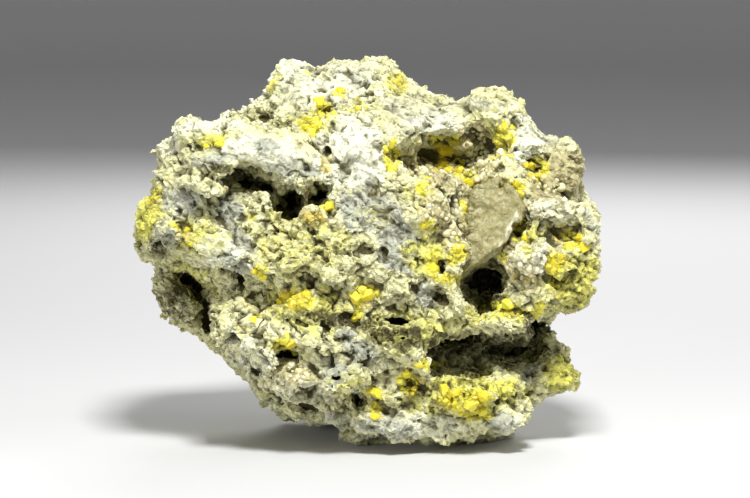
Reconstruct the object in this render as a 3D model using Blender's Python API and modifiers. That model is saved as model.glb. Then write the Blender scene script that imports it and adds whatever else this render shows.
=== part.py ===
"""A specimen of native sulfur: a vuggy lump of pale limestone matrix with crusts of sulfur and
calcite crystals in its hollows, and a slab of calcite. Metres, +Z up, standing on the cut under the rock.

The rock is drawn as it is seen from the front, leaning back by LEAN: x runs to the right, y away from
the viewer and z up, all in millimetres. It is set upright, cut flat underneath and centred at the end.
"""

import math
import random

import bmesh
import bpy
from mathutils import Matrix, Vector, noise
from mathutils.bvhtree import BVHTree

MM = 0.001
ROCK_WIDTH = 240.0  # left tip to right bulge
LEAN = math.radians(6.0)  # the drawn front leans back by this much when the rock stands
FLOOR_HEIGHT = 2.0  # where the flat resting face is cut through the leaning rock
GAP = 0.3  # clearance between a crust and the pocket it sits in
FUSE_VOXEL = 2.6  # size of the cells that fuse the lumps into one rock
ROCK_TRIANGLES = 3400

# The main mass as it is seen from the front, from the left shoulder round over the top.
OUTLINE_WIDTH = 235.0
OUTLINE_MIDDLE = (0, 98)
OUTLINE = [
    (-107, 145), (-104, 154), (-95, 161), (-78, 164), (-62, 174), (-54, 177), (-49, 187), (-40, 194),
    (-25, 195), (-14, 198), (7, 198), (14, 191), (24, 185), (40, 178), (54, 177), (66, 181), (76, 175),
    (84, 163), (97, 157), (106, 147), (110, 135), (111, 126), (116, 112), (117, 94), (112, 80), (99, 72),
    (92, 60), (90, 46), (84, 32), (76, 14), (72, 1), (54, -3), (20, -3), (-9, -2), (-13, 7), (-30, 9),
    (-48, 14), (-57, 27), (-66, 40), (-75, 52), (-80, 70), (-90, 88), (-106, 98), (-112, 112),
    (-111, 126), (-105, 138),
]

# Colours, linear.
LIMESTONE = (0.62, 0.60, 0.40)
SULFUR = (0.80, 0.62, 0.03)
TAN_CALCITE = (0.40, 0.31, 0.19)
CREAM_CALCITE = (0.66, 0.58, 0.42)

# Rings that the outline is shrunk to, front to back: depth, share of full size, drop of the middle.
RINGS = [
    (-70, 0.30, -14), (-64, 0.52, -12), (-54, 0.70, -9), (-40, 0.85, -5), (-22, 0.95, -2), (0, 1.0, 0),
    (20, 0.99, 0), (40, 0.92, -2), (58, 0.78, -6), (70, 0.58, -10), (77, 0.34, -14),
]

# Lumps that stand out of the mass: middle, half sizes and roll in degrees, clockwise from the front.
LUMPS = {
    "upper_left_shelf": ((-59, -52, 151), (39, 24, 11), 8),
    "under_shelf_web": ((-92, -42, 139), (14, 18, 10), 15),
    "left_shoulder": ((-89, -24, 145), (16, 24, 12), 0),
    "left_knob": ((-104, -16, 151), (6, 10, 5), 0),
    "left_flank": ((-80, -50, 112), (34, 22, 19), 28),
    "left_tip": ((-107, -20, 111), (12, 20, 15), -10),
    "left_under_tip": ((-110, -12, 101), (9, 14, 7), 0),
    "back_lobe_upper": ((-99, 2, 80), (11, 22, 9), 20),
    "back_lobe_lower": ((-90, 4, 67), (16, 26, 9), 25),
    "back_lobe_root": ((-70, 6, 56), (18, 28, 12), 40),
    "top_knob_left": ((-37, 0, 185), (13, 20, 11), 0),
    "top_knob_right": ((-1, 2, 189), (18, 24, 10), 0),
    "upper_right_block": ((63, -8, 171), (13, 22, 11), 4),
    "tan_bulge": ((94, -12, 138), (16, 26, 16), 0),
    "right_bulge": ((92, -38, 98), (23, 28, 27), 0),
    "right_bulge_foot": ((90, -32, 79), (20, 24, 12), -8),
    "middle_face": ((-18, -60, 104), (44, 18, 32), 12),
    "middle_knob": ((-30, -70, 92), (13, 9, 10), 20),
    "middle_right": ((24, -58, 118), (22, 16, 22), 0),
    "septum": ((-33, -60, 126), (3, 12, 11), 10),
    "brow": ((0, -46, 152), (26, 20, 16), 0),
    "brow_ridge": ((-16, -58, 140), (20, 10, 7), 16),
    "lower_middle": ((-18, -52, 52), (38, 24, 22), 10),
    "lower_left": ((-60, -42, 62), (20, 24, 13), 42),
    "lower_ridge": ((18, -62, 52), (24, 14, 11), 12),
    "vug_floor": ((36, -62, 88), (18, 12, 10), -10),
    "recess_roof": ((70, -48, 61), (15, 22, 6), 0),
    "bottom_ledge": ((22, -38, 11), (30, 26, 9), 0),
    "bottom_knobs": ((-28, -36, 20), (19, 18, 7), -4),
    "foot": ((57, -32, 22), (26, 28, 17), 0),
    "foot_spur": ((101, -12, 36), (12, 12, 8), 35),
    "foot_spur_root": ((86, -8, 32), (14, 18, 9), 10),
    "foot_knob": ((95, 0, 52), (5, 10, 8), 0),
    "back_upper": ((20, 58, 140), (46, 22, 30), -10),
    "back_left": ((-48, 54, 104), (36, 24, 32), 15),
    "back_right": ((62, 48, 92), (32, 24, 34), 0),
    "back_foot": ((4, 46, 34), (48, 26, 26), 0),
}

# Hollows sunk into the face: place across and up, half width, depth and half height, and roll.
FRONT_HOLLOWS = {
    "under_shelf": ((-65, 138), (22, 20, 5), 27),
    "deep_pit_left": ((-41, 124), (9, 30, 9), 20),
    "deep_pit_right": ((-23, 130), (7, 26, 7), 0),
    "big_vug": ((40, 148), (28, 30, 13), -8),
    "big_vug_roof": ((60, 156), (15, 24, 9), 15),
    "slab_seat": ((60, 119), (21, 10, 22), 25),
    "yellow_pit": ((87, 143), (8, 16, 7), 0),
    "dark_cave": ((60, 84), (14, 38, 12), -25),
    "cave_throat": ((60, 73), (5, 26, 7), 0),
    "bulge_vug": ((97, 108), (11, 14, 7), 10),
    "recess": ((62, 47), (37, 44, 11), -4),
    "recess_under_bulge": ((85, 60), (8, 36, 8), 0),
    "lower_left_vug": ((-43, 47), (10, 18, 6), -6),
    "lower_left_pit": ((-61, 47), (5, 10, 4), 0),
    "knob_notch": ((-6, 24), (5, 18, 6), 0),
    "left_undercut": ((-38, 18), (26, 14, 9), 22),
    "middle_hollow": ((14, 66), (15, 12, 6), -8),
    "left_crease": ((-70, 84), (20, 12, 4), 32),
    "left_gap_upper": ((-94, 86), (13, 24, 5), 35),
    "left_gap_lower": ((-86, 71), (5, 22, 12), -15),
    "septum_side": ((-30, 108), (9, 6, 4), 0),
    "flank_dent": ((-66, 118), (10, 7, 5), 30),
    "face_dent": ((4, 96), (12, 6, 5), 30),
    "face_crease": ((-32, 90), (16, 6, 3), 25),
    "bulge_dent": ((96, 84), (9, 8, 4), 0),
    "top_dip": ((-22, 172), (9, 12, 7), 0),
    "middle_crease": ((-20, 78), (22, 7, 3), 22),
}

# Gaps and hollows that open to the side or the back: middle, half sizes and roll.
SIDE_HOLLOWS = {
    "recess_mouth": ((94, -34, 58), (22, 40, 7), 0),
    "lobe_gap": ((-88, -34, 80), (24, 24, 8), 32),
    "lobe_gap_root": ((-72, -30, 66), (9, 22, 9), 50),
    "back_vug": ((34, 80, 112), (22, 18, 14), 10),
    "back_pit": ((-50, 78, 74), (15, 16, 9), -20),
    "left_side_pit": ((-112, 34, 118), (10, 16, 10), 0),
    "right_side_pit": ((114, 34, 84), (12, 18, 11), 0),
    "top_hollow": ((28, 14, 194), (16, 20, 10), 12),
}

# Sulfur crusts: place across and up, half width and half height of the crust, crystals, crystal size.
FRONT_SULFUR = {
    "sulfur_crust_top_hollow": ((-26, 168), (10, 6), 6, 5.0),
    "sulfur_crust_brow": ((12, 147), (6, 8), 5, 4.2),
    "sulfur_crust_big_vug": ((40, 140), (11, 6), 6, 4.6),
    "sulfur_crust_vug_lip": ((68, 158), (6, 10), 5, 5.0),
    "sulfur_crust_yellow_pit": ((88, 142), (6, 5), 5, 4.6),
    "sulfur_crust_under_slab": ((36, 98), (9, 7), 6, 4.8),
    "sulfur_crust_bulge_vug": ((100, 106), (7, 8), 5, 4.4),
    "sulfur_crust_middle": ((-34, 74), (9, 5), 5, 4.8),
    "sulfur_crust_lower_left_vug": ((-43, 52), (7, 4), 4, 5.0),
    "sulfur_crust_middle_hollow": ((-2, 74), (7, 7), 5, 4.6),
    "sulfur_crust_recess": ((72, 70), (7, 5), 4, 4.8),
    "sulfur_crust_foot": ((50, 23), (14, 9), 8, 5.4),
}
BACK_SULFUR = {
    "sulfur_crust_back_vug": ((34, 110), (12, 8), 7, 5.2),
    "sulfur_crust_back_pit": ((-50, 73), (8, 6), 5, 4.6),
}
# Druses of small round calcite crystals, in the same way.
FRONT_CALCITE = {
    "calcite_crust_big_vug": ((50, 155), (9, 6), 7, 4.0),
    "calcite_crust_right_bulge": ((80, 97), (9, 7), 7, 4.0),
}
# The calcite slab: its face as it is seen from the front, its middle and how it is turned.
SLAB_FACE = [
    (-3, 22), (7, 22), (15, 15), (19, 6), (16, -5), (8, -13), (-2, -19), (-10, -26), (-20, -26), (-15, -17),
    (-8, -6), (-11, 6), (-8, 17),
]
SLAB_THICKNESS = 8.0
SLAB_MIDDLE = (60, 113)
SLAB_TURN = (-10.0, -12.0)  # degrees about X and Z
SLAB_STANDS_OUT = 3.0  # how far its middle stands out of the rock


def clear_scene():
    for old in list(bpy.data.objects):
        bpy.data.objects.remove(old, do_unlink=True)


def new_collection(name, hidden=False):
    made = bpy.data.collections.new(name)
    made.hide_render = hidden
    bpy.context.scene.collection.children.link(made)
    return made


def add_object(name, bm, collection):
    """Turns a bmesh drawn in millimetres into an object in metres."""
    bmesh.ops.scale(bm, vec=(MM, MM, MM), verts=bm.verts)
    mesh = bpy.data.meshes.new(name)
    bm.to_mesh(mesh)
    bm.free()
    made = bpy.data.objects.new(name, mesh)
    collection.objects.link(made)
    return made


def apply_modifiers(obj):
    """Replaces an object's mesh with what its modifiers make of it."""
    graph = bpy.context.evaluated_depsgraph_get()
    mesh = bpy.data.meshes.new_from_object(obj.evaluated_get(graph), depsgraph=graph)
    obj.modifiers.clear()
    obj.data = mesh


def fuse(obj, voxel):
    """Melts overlapping shapes into one closed skin."""
    remesh = obj.modifiers.new("fuse", "REMESH")
    remesh.mode = "VOXEL"
    remesh.voxel_size = voxel * MM
    apply_modifiers(obj)


def crumple(obj, name, kind, size, strength):
    """Pushes the surface in and out by a cloud or cell pattern of the given size."""
    texture = bpy.data.textures.new(name, kind)
    texture.noise_scale = size * MM
    push = obj.modifiers.new(name, "DISPLACE")
    push.texture = texture
    push.texture_coords = "LOCAL"
    push.strength = strength * MM
    push.mid_level = 0.5


def boolean(obj, other, operation, crossing=False):
    cut = obj.modifiers.new(operation.lower(), "BOOLEAN")
    cut.operation = operation
    cut.solver = "EXACT"
    cut.use_self = crossing
    cut.object = other
    apply_modifiers(obj)


def keep_largest_piece(obj):
    """Drops the crumbs that a cut leaves loose or hanging by an edge."""
    bm = bmesh.new()
    bm.from_mesh(obj.data)
    pieces = []
    waiting = set(bm.faces)
    while waiting:
        piece, reached = [], [waiting.pop()]
        while reached:
            face = reached.pop()
            piece.append(face)
            smooth_edges = [edge for edge in face.edges if len(edge.link_faces) == 2]
            near = {other for edge in smooth_edges for other in edge.link_faces} & waiting
            waiting -= near
            reached += near
        pieces.append(piece)
    pieces.sort(key=len)
    crumbs = [face for piece in pieces[:-1] for face in piece]
    bmesh.ops.delete(bm, geom=crumbs, context="FACES")
    bm.to_mesh(obj.data)
    bm.free()


def add_main_mass(bm):
    """Lofts the outline through its rings and closes both ends."""
    stretch = ROCK_WIDTH / OUTLINE_WIDTH
    mid_x, mid_z = OUTLINE_MIDDLE
    loops = []
    for depth, share, drop in RINGS:
        ring = [
            bm.verts.new((mid_x + (x - mid_x) * share * stretch, depth, mid_z + drop + (z - mid_z) * share))
            for x, z in OUTLINE
        ]
        loops.append([bm.edges.new((a, b)) for a, b in zip(ring, ring[1:] + ring[:1])])
    for front, back in zip(loops, loops[1:]):
        bmesh.ops.bridge_loops(bm, edges=front + back)
    for end in (loops[0], loops[-1]):
        bmesh.ops.edgeloop_fill(bm, edges=end)


def add_lump(bm, middle, half, roll, seed, bulk=0.72, roughness=0.3, detail=4):
    """A blocky lump: a ball squared off by its power curve and roughened by noise."""
    ball = bmesh.ops.create_icosphere(bm, subdivisions=detail, radius=1.0)["verts"]
    turn = Matrix.Rotation(math.radians(roll), 3, "Y")
    shift = Vector((seed * 7.3, seed * 3.1, seed * 5.7))
    for vert in ball:
        squared = Vector([math.copysign(abs(c) ** bulk, c) for c in vert.co])
        swell = 1.0 + roughness * noise.noise(vert.co * 1.7 + shift)
        place = Vector([c * h for c, h in zip(squared * swell, half)])
        vert.co = turn @ place + Vector(middle)


def skin_of(rock):
    bm = bmesh.new()
    bm.from_mesh(rock.data)
    bmesh.ops.scale(bm, vec=(1 / MM,) * 3, verts=bm.verts)
    skin = BVHTree.FromBMesh(bm)
    bm.free()
    return skin


def on_face(skin, across, up, from_back=False):
    """Where a line of sight meets the rock, and which way its surface faces there."""
    side = 1.0 if from_back else -1.0
    place, facing, _, _ = skin.ray_cast(Vector((across, side * 300.0, up)), Vector((0, -side, 0)))
    return place, facing


def make_rock(parts, cutters):
    bm = bmesh.new()
    add_main_mass(bm)
    for seed, (middle, half, roll) in enumerate(LUMPS.values()):
        add_lump(bm, middle, half, roll, seed)
    rock = add_object("matrix_rock", bm, parts)
    fuse(rock, FUSE_VOXEL)

    skin = skin_of(rock)
    bm = bmesh.new()
    for seed, ((across, up), half, roll) in enumerate(FRONT_HOLLOWS.values(), start=40):
        place, _ = on_face(skin, across, up)
        add_lump(bm, place, half, roll, seed, bulk=0.85)
    for seed, (middle, half, roll) in enumerate(SIDE_HOLLOWS.values(), start=80):
        add_lump(bm, middle, half, roll, seed, bulk=0.85)
    hollows = add_object("hollows", bm, cutters)
    hollows.hide_render = True
    fuse(hollows, FUSE_VOXEL)
    boolean(rock, hollows, "DIFFERENCE")

    crumple(rock, "broken_blocks", "VORONOI", 15.0, -7.0)
    crumple(rock, "crumbs", "CLOUDS", 6.0, 2.4)
    apply_modifiers(rock)
    fuse(rock, FUSE_VOXEL)
    thin = rock.modifiers.new("facets", "DECIMATE")
    thin.ratio = ROCK_TRIANGLES / (2.0 * len(rock.data.polygons))
    apply_modifiers(rock)
    keep_largest_piece(rock)
    return rock


def add_crystal(bm, place, along, size, grow):
    """A stubby double pyramid of sulfur with cut-off tips, standing along a direction."""
    wide, tall, tip = size * 0.62 + grow, size * 0.95 + grow, size * 0.24 + grow
    bottom_to_top = [(-tall, tip), (0.0, wide), (tall, tip)]
    turn = Vector((0, 0, 1)).rotation_difference(along).to_matrix()
    corners = []
    for height, radius in bottom_to_top:
        for step in range(4):
            angle = math.radians(45 + 90 * step)
            corner = Vector((radius * math.cos(angle), radius * 0.82 * math.sin(angle), height))
            corners.append(bm.verts.new(turn @ corner + place))
    bmesh.ops.convex_hull(bm, input=corners)


def add_grain(bm, place, size, grow):
    """One rounded calcite crystal of a druse."""
    ball = bmesh.ops.create_icosphere(bm, subdivisions=1, radius=size * 0.75 + grow)["verts"]
    bmesh.ops.translate(bm, vec=place, verts=ball)


def crust_layout(skin, spec, seed, from_back):
    """Where the crust's core lies on the rock, and each crystal's place, direction and size."""
    (across, up), (half_width, half_height), count, size = spec
    rng = random.Random(seed)
    place, facing = on_face(skin, across, up, from_back)
    frame = Vector((0, 0, 1)).rotation_difference(facing).to_matrix()
    crystals = []
    for number in range(count):
        angle = 2.4 * number
        reach = 0.85 * math.sqrt((number + 0.5) / count)
        flat = (half_width * reach * math.cos(angle), half_height * reach * math.sin(angle), size * 0.35)
        lean = Vector((rng.uniform(-0.6, 0.6), rng.uniform(-0.6, 0.6), 1.0)).normalized()
        crystals.append((frame @ Vector(flat) + place, frame @ lean, size * rng.uniform(0.8, 1.25)))
    return place, frame, crystals


def add_core(bm, place, frame, spec, grow):
    """The flat core of a crust, pressed into the hollow's wall."""
    _, (half_width, half_height), _, size = spec
    core = bmesh.ops.create_icosphere(bm, subdivisions=1, radius=1.0)["verts"]
    for vert in core:
        half = (half_width + grow, half_height + grow, size * 0.9 + grow)
        vert.co = frame @ Vector([c * h for c, h in zip(vert.co, half)]) + place


def add_crystals(bm, crystals, round_grains, grow):
    for place, along, size in crystals:
        if round_grains:
            add_grain(bm, place, size, grow)
        else:
            add_crystal(bm, place, along, size, grow)


def make_crust(name, parts, cutters, skin, spec, seed, from_back=False, round_grains=False):
    """One crust: the core and the crystals that stand out of it, joined in one solid."""
    place, frame, crystals = crust_layout(skin, spec, seed, from_back)
    bm = bmesh.new()
    add_core(bm, place, frame, spec, 0.0)
    crust = add_object(name, bm, parts)
    bm = bmesh.new()
    add_crystals(bm, crystals, round_grains, 0.0)
    standing = add_object(name + "_crystals", bm, cutters)
    boolean(crust, standing, "UNION", crossing=True)
    bpy.data.objects.remove(standing, do_unlink=True)
    return place, frame, crystals


def add_pocket(bm, layout, spec, round_grains=False):
    """The hollow that the rock gets for a crust: the hull round it, with the clearance."""
    place, frame, crystals = layout
    shape = bmesh.new()
    add_core(shape, place, frame, spec, GAP)
    add_crystals(shape, crystals, round_grains, GAP)
    corners = [bm.verts.new(vert.co) for vert in shape.verts]
    shape.free()
    hull = bmesh.ops.convex_hull(bm, input=corners)
    inside = [item for item in hull["geom_interior"] if isinstance(item, bmesh.types.BMVert)]
    bmesh.ops.delete(bm, geom=inside, context="VERTS")


def add_slab(bm, place, grow):
    """The plate of calcite, cut to its face outline and turned as it stands in the hollow."""
    stretch = 1.0 + grow / 12.0
    half = SLAB_THICKNESS / 2 + grow
    rim = [bm.verts.new((x * stretch, -half, z * stretch)) for x, z in SLAB_FACE]
    face = bm.faces.new(rim)
    back = bmesh.ops.extrude_face_region(bm, geom=[face])["geom"]
    moved = [item for item in back if isinstance(item, bmesh.types.BMVert)]
    bmesh.ops.translate(bm, vec=(0, 2 * half, 0), verts=moved)
    both = rim + moved
    about_x, about_z = (math.radians(angle) for angle in SLAB_TURN)
    turn = Matrix.Rotation(about_z, 3, "Z") @ Matrix.Rotation(about_x, 3, "X")
    bmesh.ops.rotate(bm, matrix=turn, verts=both)
    bmesh.ops.translate(bm, vec=place, verts=both)
    bmesh.ops.recalc_face_normals(bm, faces=list({face for vert in both for face in vert.link_faces}))


def make_crusts(rock, parts, cutters):
    """Every crust and the slab, each in its own pocket in the rock."""
    skin = skin_of(rock)
    pockets = bmesh.new()
    for seed, (name, spec) in enumerate(FRONT_SULFUR.items()):
        add_pocket(pockets, make_crust(name, parts, cutters, skin, spec, seed), spec)
    for seed, (name, spec) in enumerate(BACK_SULFUR.items(), start=30):
        add_pocket(pockets, make_crust(name, parts, cutters, skin, spec, seed, from_back=True), spec)
    for seed, (name, spec) in enumerate(FRONT_CALCITE.items(), start=50):
        layout = make_crust(name, parts, cutters, skin, spec, seed, round_grains=True)
        add_pocket(pockets, layout, spec, round_grains=True)
    place, _ = on_face(skin, *SLAB_MIDDLE)
    place.y -= SLAB_STANDS_OUT
    bm = bmesh.new()
    add_slab(bm, place, 0.0)
    add_object("calcite_slab", bm, parts)
    add_slab(pockets, place, GAP)
    cutter = add_object("pockets", pockets, cutters)
    cutter.hide_render = True
    boolean(rock, cutter, "DIFFERENCE", crossing=True)
    keep_largest_piece(rock)


def stand_up(rock, parts):
    """Leans the drawn rock back, cuts its resting face flat and centres it on the world's origin."""
    lean = Matrix.Rotation(-LEAN, 4, "X")
    for obj in parts.objects:
        obj.data.transform(lean)
    bm = bmesh.new()
    bm.from_mesh(rock.data)
    everything = bm.verts[:] + bm.edges[:] + bm.faces[:]
    floor = Vector((0, 0, FLOOR_HEIGHT * MM))
    cut = bmesh.ops.bisect_plane(bm, geom=everything, plane_co=floor, plane_no=(0, 0, 1), clear_inner=True)
    rim = [item for item in cut["geom_cut"] if isinstance(item, bmesh.types.BMEdge)]
    bmesh.ops.holes_fill(bm, edges=rim, sides=0)
    bmesh.ops.recalc_face_normals(bm, faces=bm.faces)
    bm.to_mesh(rock.data)
    bm.free()
    reach = [(min(axis), max(axis)) for axis in zip(*(vert.co for vert in rock.data.vertices))]
    middle = Vector((sum(reach[0]) / 2, sum(reach[1]) / 2, FLOOR_HEIGHT * MM))
    for obj in parts.objects:
        obj.data.transform(Matrix.Translation(-middle))


def paint(obj, name, colour, roughness):
    """Gives the object a plain material of its own."""
    material = bpy.data.materials.new(name)
    material.use_nodes = True
    surface = material.node_tree.nodes["Principled BSDF"]
    surface.inputs["Base Color"].default_value = (*colour, 1.0)
    surface.inputs["Roughness"].default_value = roughness
    surface.inputs["Metallic"].default_value = 0.0
    obj.data.materials.clear()
    obj.data.materials.append(material)


def paint_parts(parts):
    for obj in parts.objects:
        if obj.name == "matrix_rock":
            paint(obj, "chalky_limestone", LIMESTONE, 0.95)
        elif obj.name.startswith("sulfur"):
            paint(obj, obj.name + "_sulfur", SULFUR, 0.45)
        elif obj.name == "calcite_slab":
            paint(obj, "tan_calcite", TAN_CALCITE, 0.5)
        else:
            paint(obj, obj.name + "_calcite", CREAM_CALCITE, 0.5)


def main():
    clear_scene()
    parts = new_collection("native_sulfur")
    cutters = new_collection("cutters", hidden=True)
    rock = make_rock(parts, cutters)
    make_crusts(rock, parts, cutters)
    stand_up(rock, parts)
    paint_parts(parts)


main()
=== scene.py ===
"""Dresses the native sulfur specimen: a crumbly limestone lump with crusts of sulfur and calcite.

The rock is refined from its solid, dug and crumbled at three scales, and grains and crystals are
scattered on it where they grow. Places on the face are given as they are met in the camera's view,
across and down, in the pixels of a view 750 wide and 498 high.
"""

import math
import random

import bmesh
import bpy
import numpy as np
from mathutils import Matrix, Vector, noise
from mathutils.bvhtree import BVHTree


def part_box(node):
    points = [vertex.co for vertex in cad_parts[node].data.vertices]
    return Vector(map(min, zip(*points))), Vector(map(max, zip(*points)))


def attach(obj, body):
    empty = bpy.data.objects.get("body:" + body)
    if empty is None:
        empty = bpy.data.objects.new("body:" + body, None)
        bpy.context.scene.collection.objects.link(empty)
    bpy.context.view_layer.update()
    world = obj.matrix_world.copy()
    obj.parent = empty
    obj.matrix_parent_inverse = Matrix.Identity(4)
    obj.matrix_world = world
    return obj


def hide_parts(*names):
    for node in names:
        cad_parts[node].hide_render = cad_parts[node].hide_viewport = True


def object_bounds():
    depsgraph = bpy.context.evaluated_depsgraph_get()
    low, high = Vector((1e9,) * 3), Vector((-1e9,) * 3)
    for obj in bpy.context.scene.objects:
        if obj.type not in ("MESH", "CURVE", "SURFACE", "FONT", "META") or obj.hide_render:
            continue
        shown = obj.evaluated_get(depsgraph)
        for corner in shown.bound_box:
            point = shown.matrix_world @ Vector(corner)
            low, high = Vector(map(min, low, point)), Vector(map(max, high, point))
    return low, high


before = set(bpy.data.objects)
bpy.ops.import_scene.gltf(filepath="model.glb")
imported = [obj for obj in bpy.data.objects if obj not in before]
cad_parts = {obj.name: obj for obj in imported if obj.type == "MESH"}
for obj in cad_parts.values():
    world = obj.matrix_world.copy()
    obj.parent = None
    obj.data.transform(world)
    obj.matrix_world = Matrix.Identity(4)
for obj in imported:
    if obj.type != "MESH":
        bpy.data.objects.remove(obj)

CAD_BOX = [list(corner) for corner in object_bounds()]
MM = 0.001

# The camera and its view.
VIEW_WIDTH = 750
VIEW_HEIGHT = 498
PIXEL = 0.000517  # metres of the specimen that one pixel of the view spans
CAMERA_DISTANCE = 2.0
SENSOR_WIDTH = 36.0
CAMERA_RISE = math.radians(6.0)
CAMERA_AIM = Vector((0.0031, 0.0, 0.0972))
FORWARD = Vector((0.0, math.cos(CAMERA_RISE), -math.sin(CAMERA_RISE)))
UPWARD = Vector((0.0, math.sin(CAMERA_RISE), math.cos(CAMERA_RISE)))
EYE = CAMERA_AIM - FORWARD * CAMERA_DISTANCE

# The studio: a floor that bends up into a wall, and lights as place, size and power.
STAGE_RADIUS = 4.5
FLOOR_FLAT = 0.75  # share of the radius that is level
FLOOR_BEND_STEPS = 8
FLOOR_SEGMENTS = 64
SKY_STRENGTH = 0.22
LIGHTS = {
    "key": ((0.12, -0.92, 1.32), 0.32, 35.0),
    "left_fill": ((-1.1, -1.2, 0.32), 0.36, 7.0),
    "right_fill": ((1.3, -0.2, 0.7), 0.8, 4.0),
    "back_fill": ((0.2, 1.3, 0.9), 0.8, 12.0),
}

# How finely the rock is worked.
COARSE_VOXEL = 1.5 * MM
FINE_VOXEL = 1.0 * MM
SLAB_VOXEL = 0.8 * MM
ROCK_TRIANGLES = 190000
ROUNDING_STEPS = 4
CRUST_REACH = 4 * MM  # a crystal this near a crust of the model belongs to it
MIDDLE_FADE = 20 * MM  # depth over which what the camera sees gives way to the hidden side
WIDE_CLOUDS = 30 * MM  # noise that decides where the hidden side is smooth, grey or tan
WIDE_SEED = 2

# How the rock crumbles, from clods to crumbs: width of a cell, step from cell to cell, tilt and so on.
CRUMBLING = {
    "clods": {
        "Cell": 24 * MM, "Step": 3.0 * MM, "Tilt": 5.0 * MM, "Flatten": 1.3, "Warp": 0.6, "Dip": -0.5,
        "Seed": 0.31,
    },
    "lumps": {
        "Cell": 11 * MM, "Step": 1.8 * MM, "Tilt": 4.0 * MM, "Crease": 0.7 * MM, "Ledge": 0.8 * MM,
        "Flatten": 1.5, "Warp": 0.6, "Dip": -0.5, "Seed": 0.87,
    },
    "crumbs": {
        "Cell": 5 * MM, "Step": 0.9 * MM, "Tilt": 2.2 * MM, "Crease": 0.35 * MM, "Ledge": 0.3 * MM,
        "Flatten": 1.4, "Warp": 0.5, "Dip": -0.6, "Seed": 1.43,
    },
}
CREASE_WIDTH = 0.16  # of a cell
LAYER_WAVINESS = 2.4  # how far ledges wander, in layers
BIG_GRAIN_RARITY = 2.2  # the higher, the fewer large grains among the small
SHADE_SEED_STEP = 50.0  # sets a grain's shade apart from its size

# How a painted patch breaks up on the rock.
CLOUD_SHARE = 1.1
FLECK_SHARE = 0.14
PATCH_SOFTNESS = 0.24

# Colours as red, green and blue light.
COLOURS = {
    "cream": (0.72, 0.70, 0.34),
    "pale_cream": (0.85, 0.83, 0.52),
    "stained_yellow": (0.79, 0.76, 0.25),
    "lemon_stain": (0.74, 0.71, 0.12),
    "orange_stain": (0.66, 0.55, 0.14),
    "sulfur_stain": (0.72, 0.66, 0.08),
    "chalk": (0.92, 0.92, 0.70),
    "blue_grey": (0.50, 0.51, 0.40),
    "brown": (0.40, 0.35, 0.15),
    "tan": (0.64, 0.58, 0.32),
    # painted shade in crevices, cracks and hollows, and dirt on the hidden side
    "shade_and_dirt": (0.075, 0.065, 0.02),
    "deep_sulfur": (0.64, 0.53, 0.018),
    "clear_sulfur": (0.79, 0.73, 0.07),
    "orange_sulfur": (0.62, 0.43, 0.02),
    "pale_sulfur": (0.84, 0.83, 0.24),
    "tan_calcite": (0.56, 0.50, 0.25),
    "cream_calcite": (0.74, 0.68, 0.40),
    "pale_calcite": (0.76, 0.71, 0.48),
    "pink_calcite": (0.86, 0.79, 0.60),
    "slab_brown": (0.19, 0.168, 0.056),
    "slab_tan": (0.31, 0.28, 0.112),
    "slab_light_tan": (0.38, 0.35, 0.165),
    "slab_light_speck": (0.46, 0.43, 0.24),
    "slab_dark_speck": (0.10, 0.085, 0.02),
    "slab_edge": (0.60, 0.60, 0.46),
    "floor": (0.60, 0.60, 0.60),
    "studio_light": (1.0, 1.0, 1.0),
}

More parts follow.
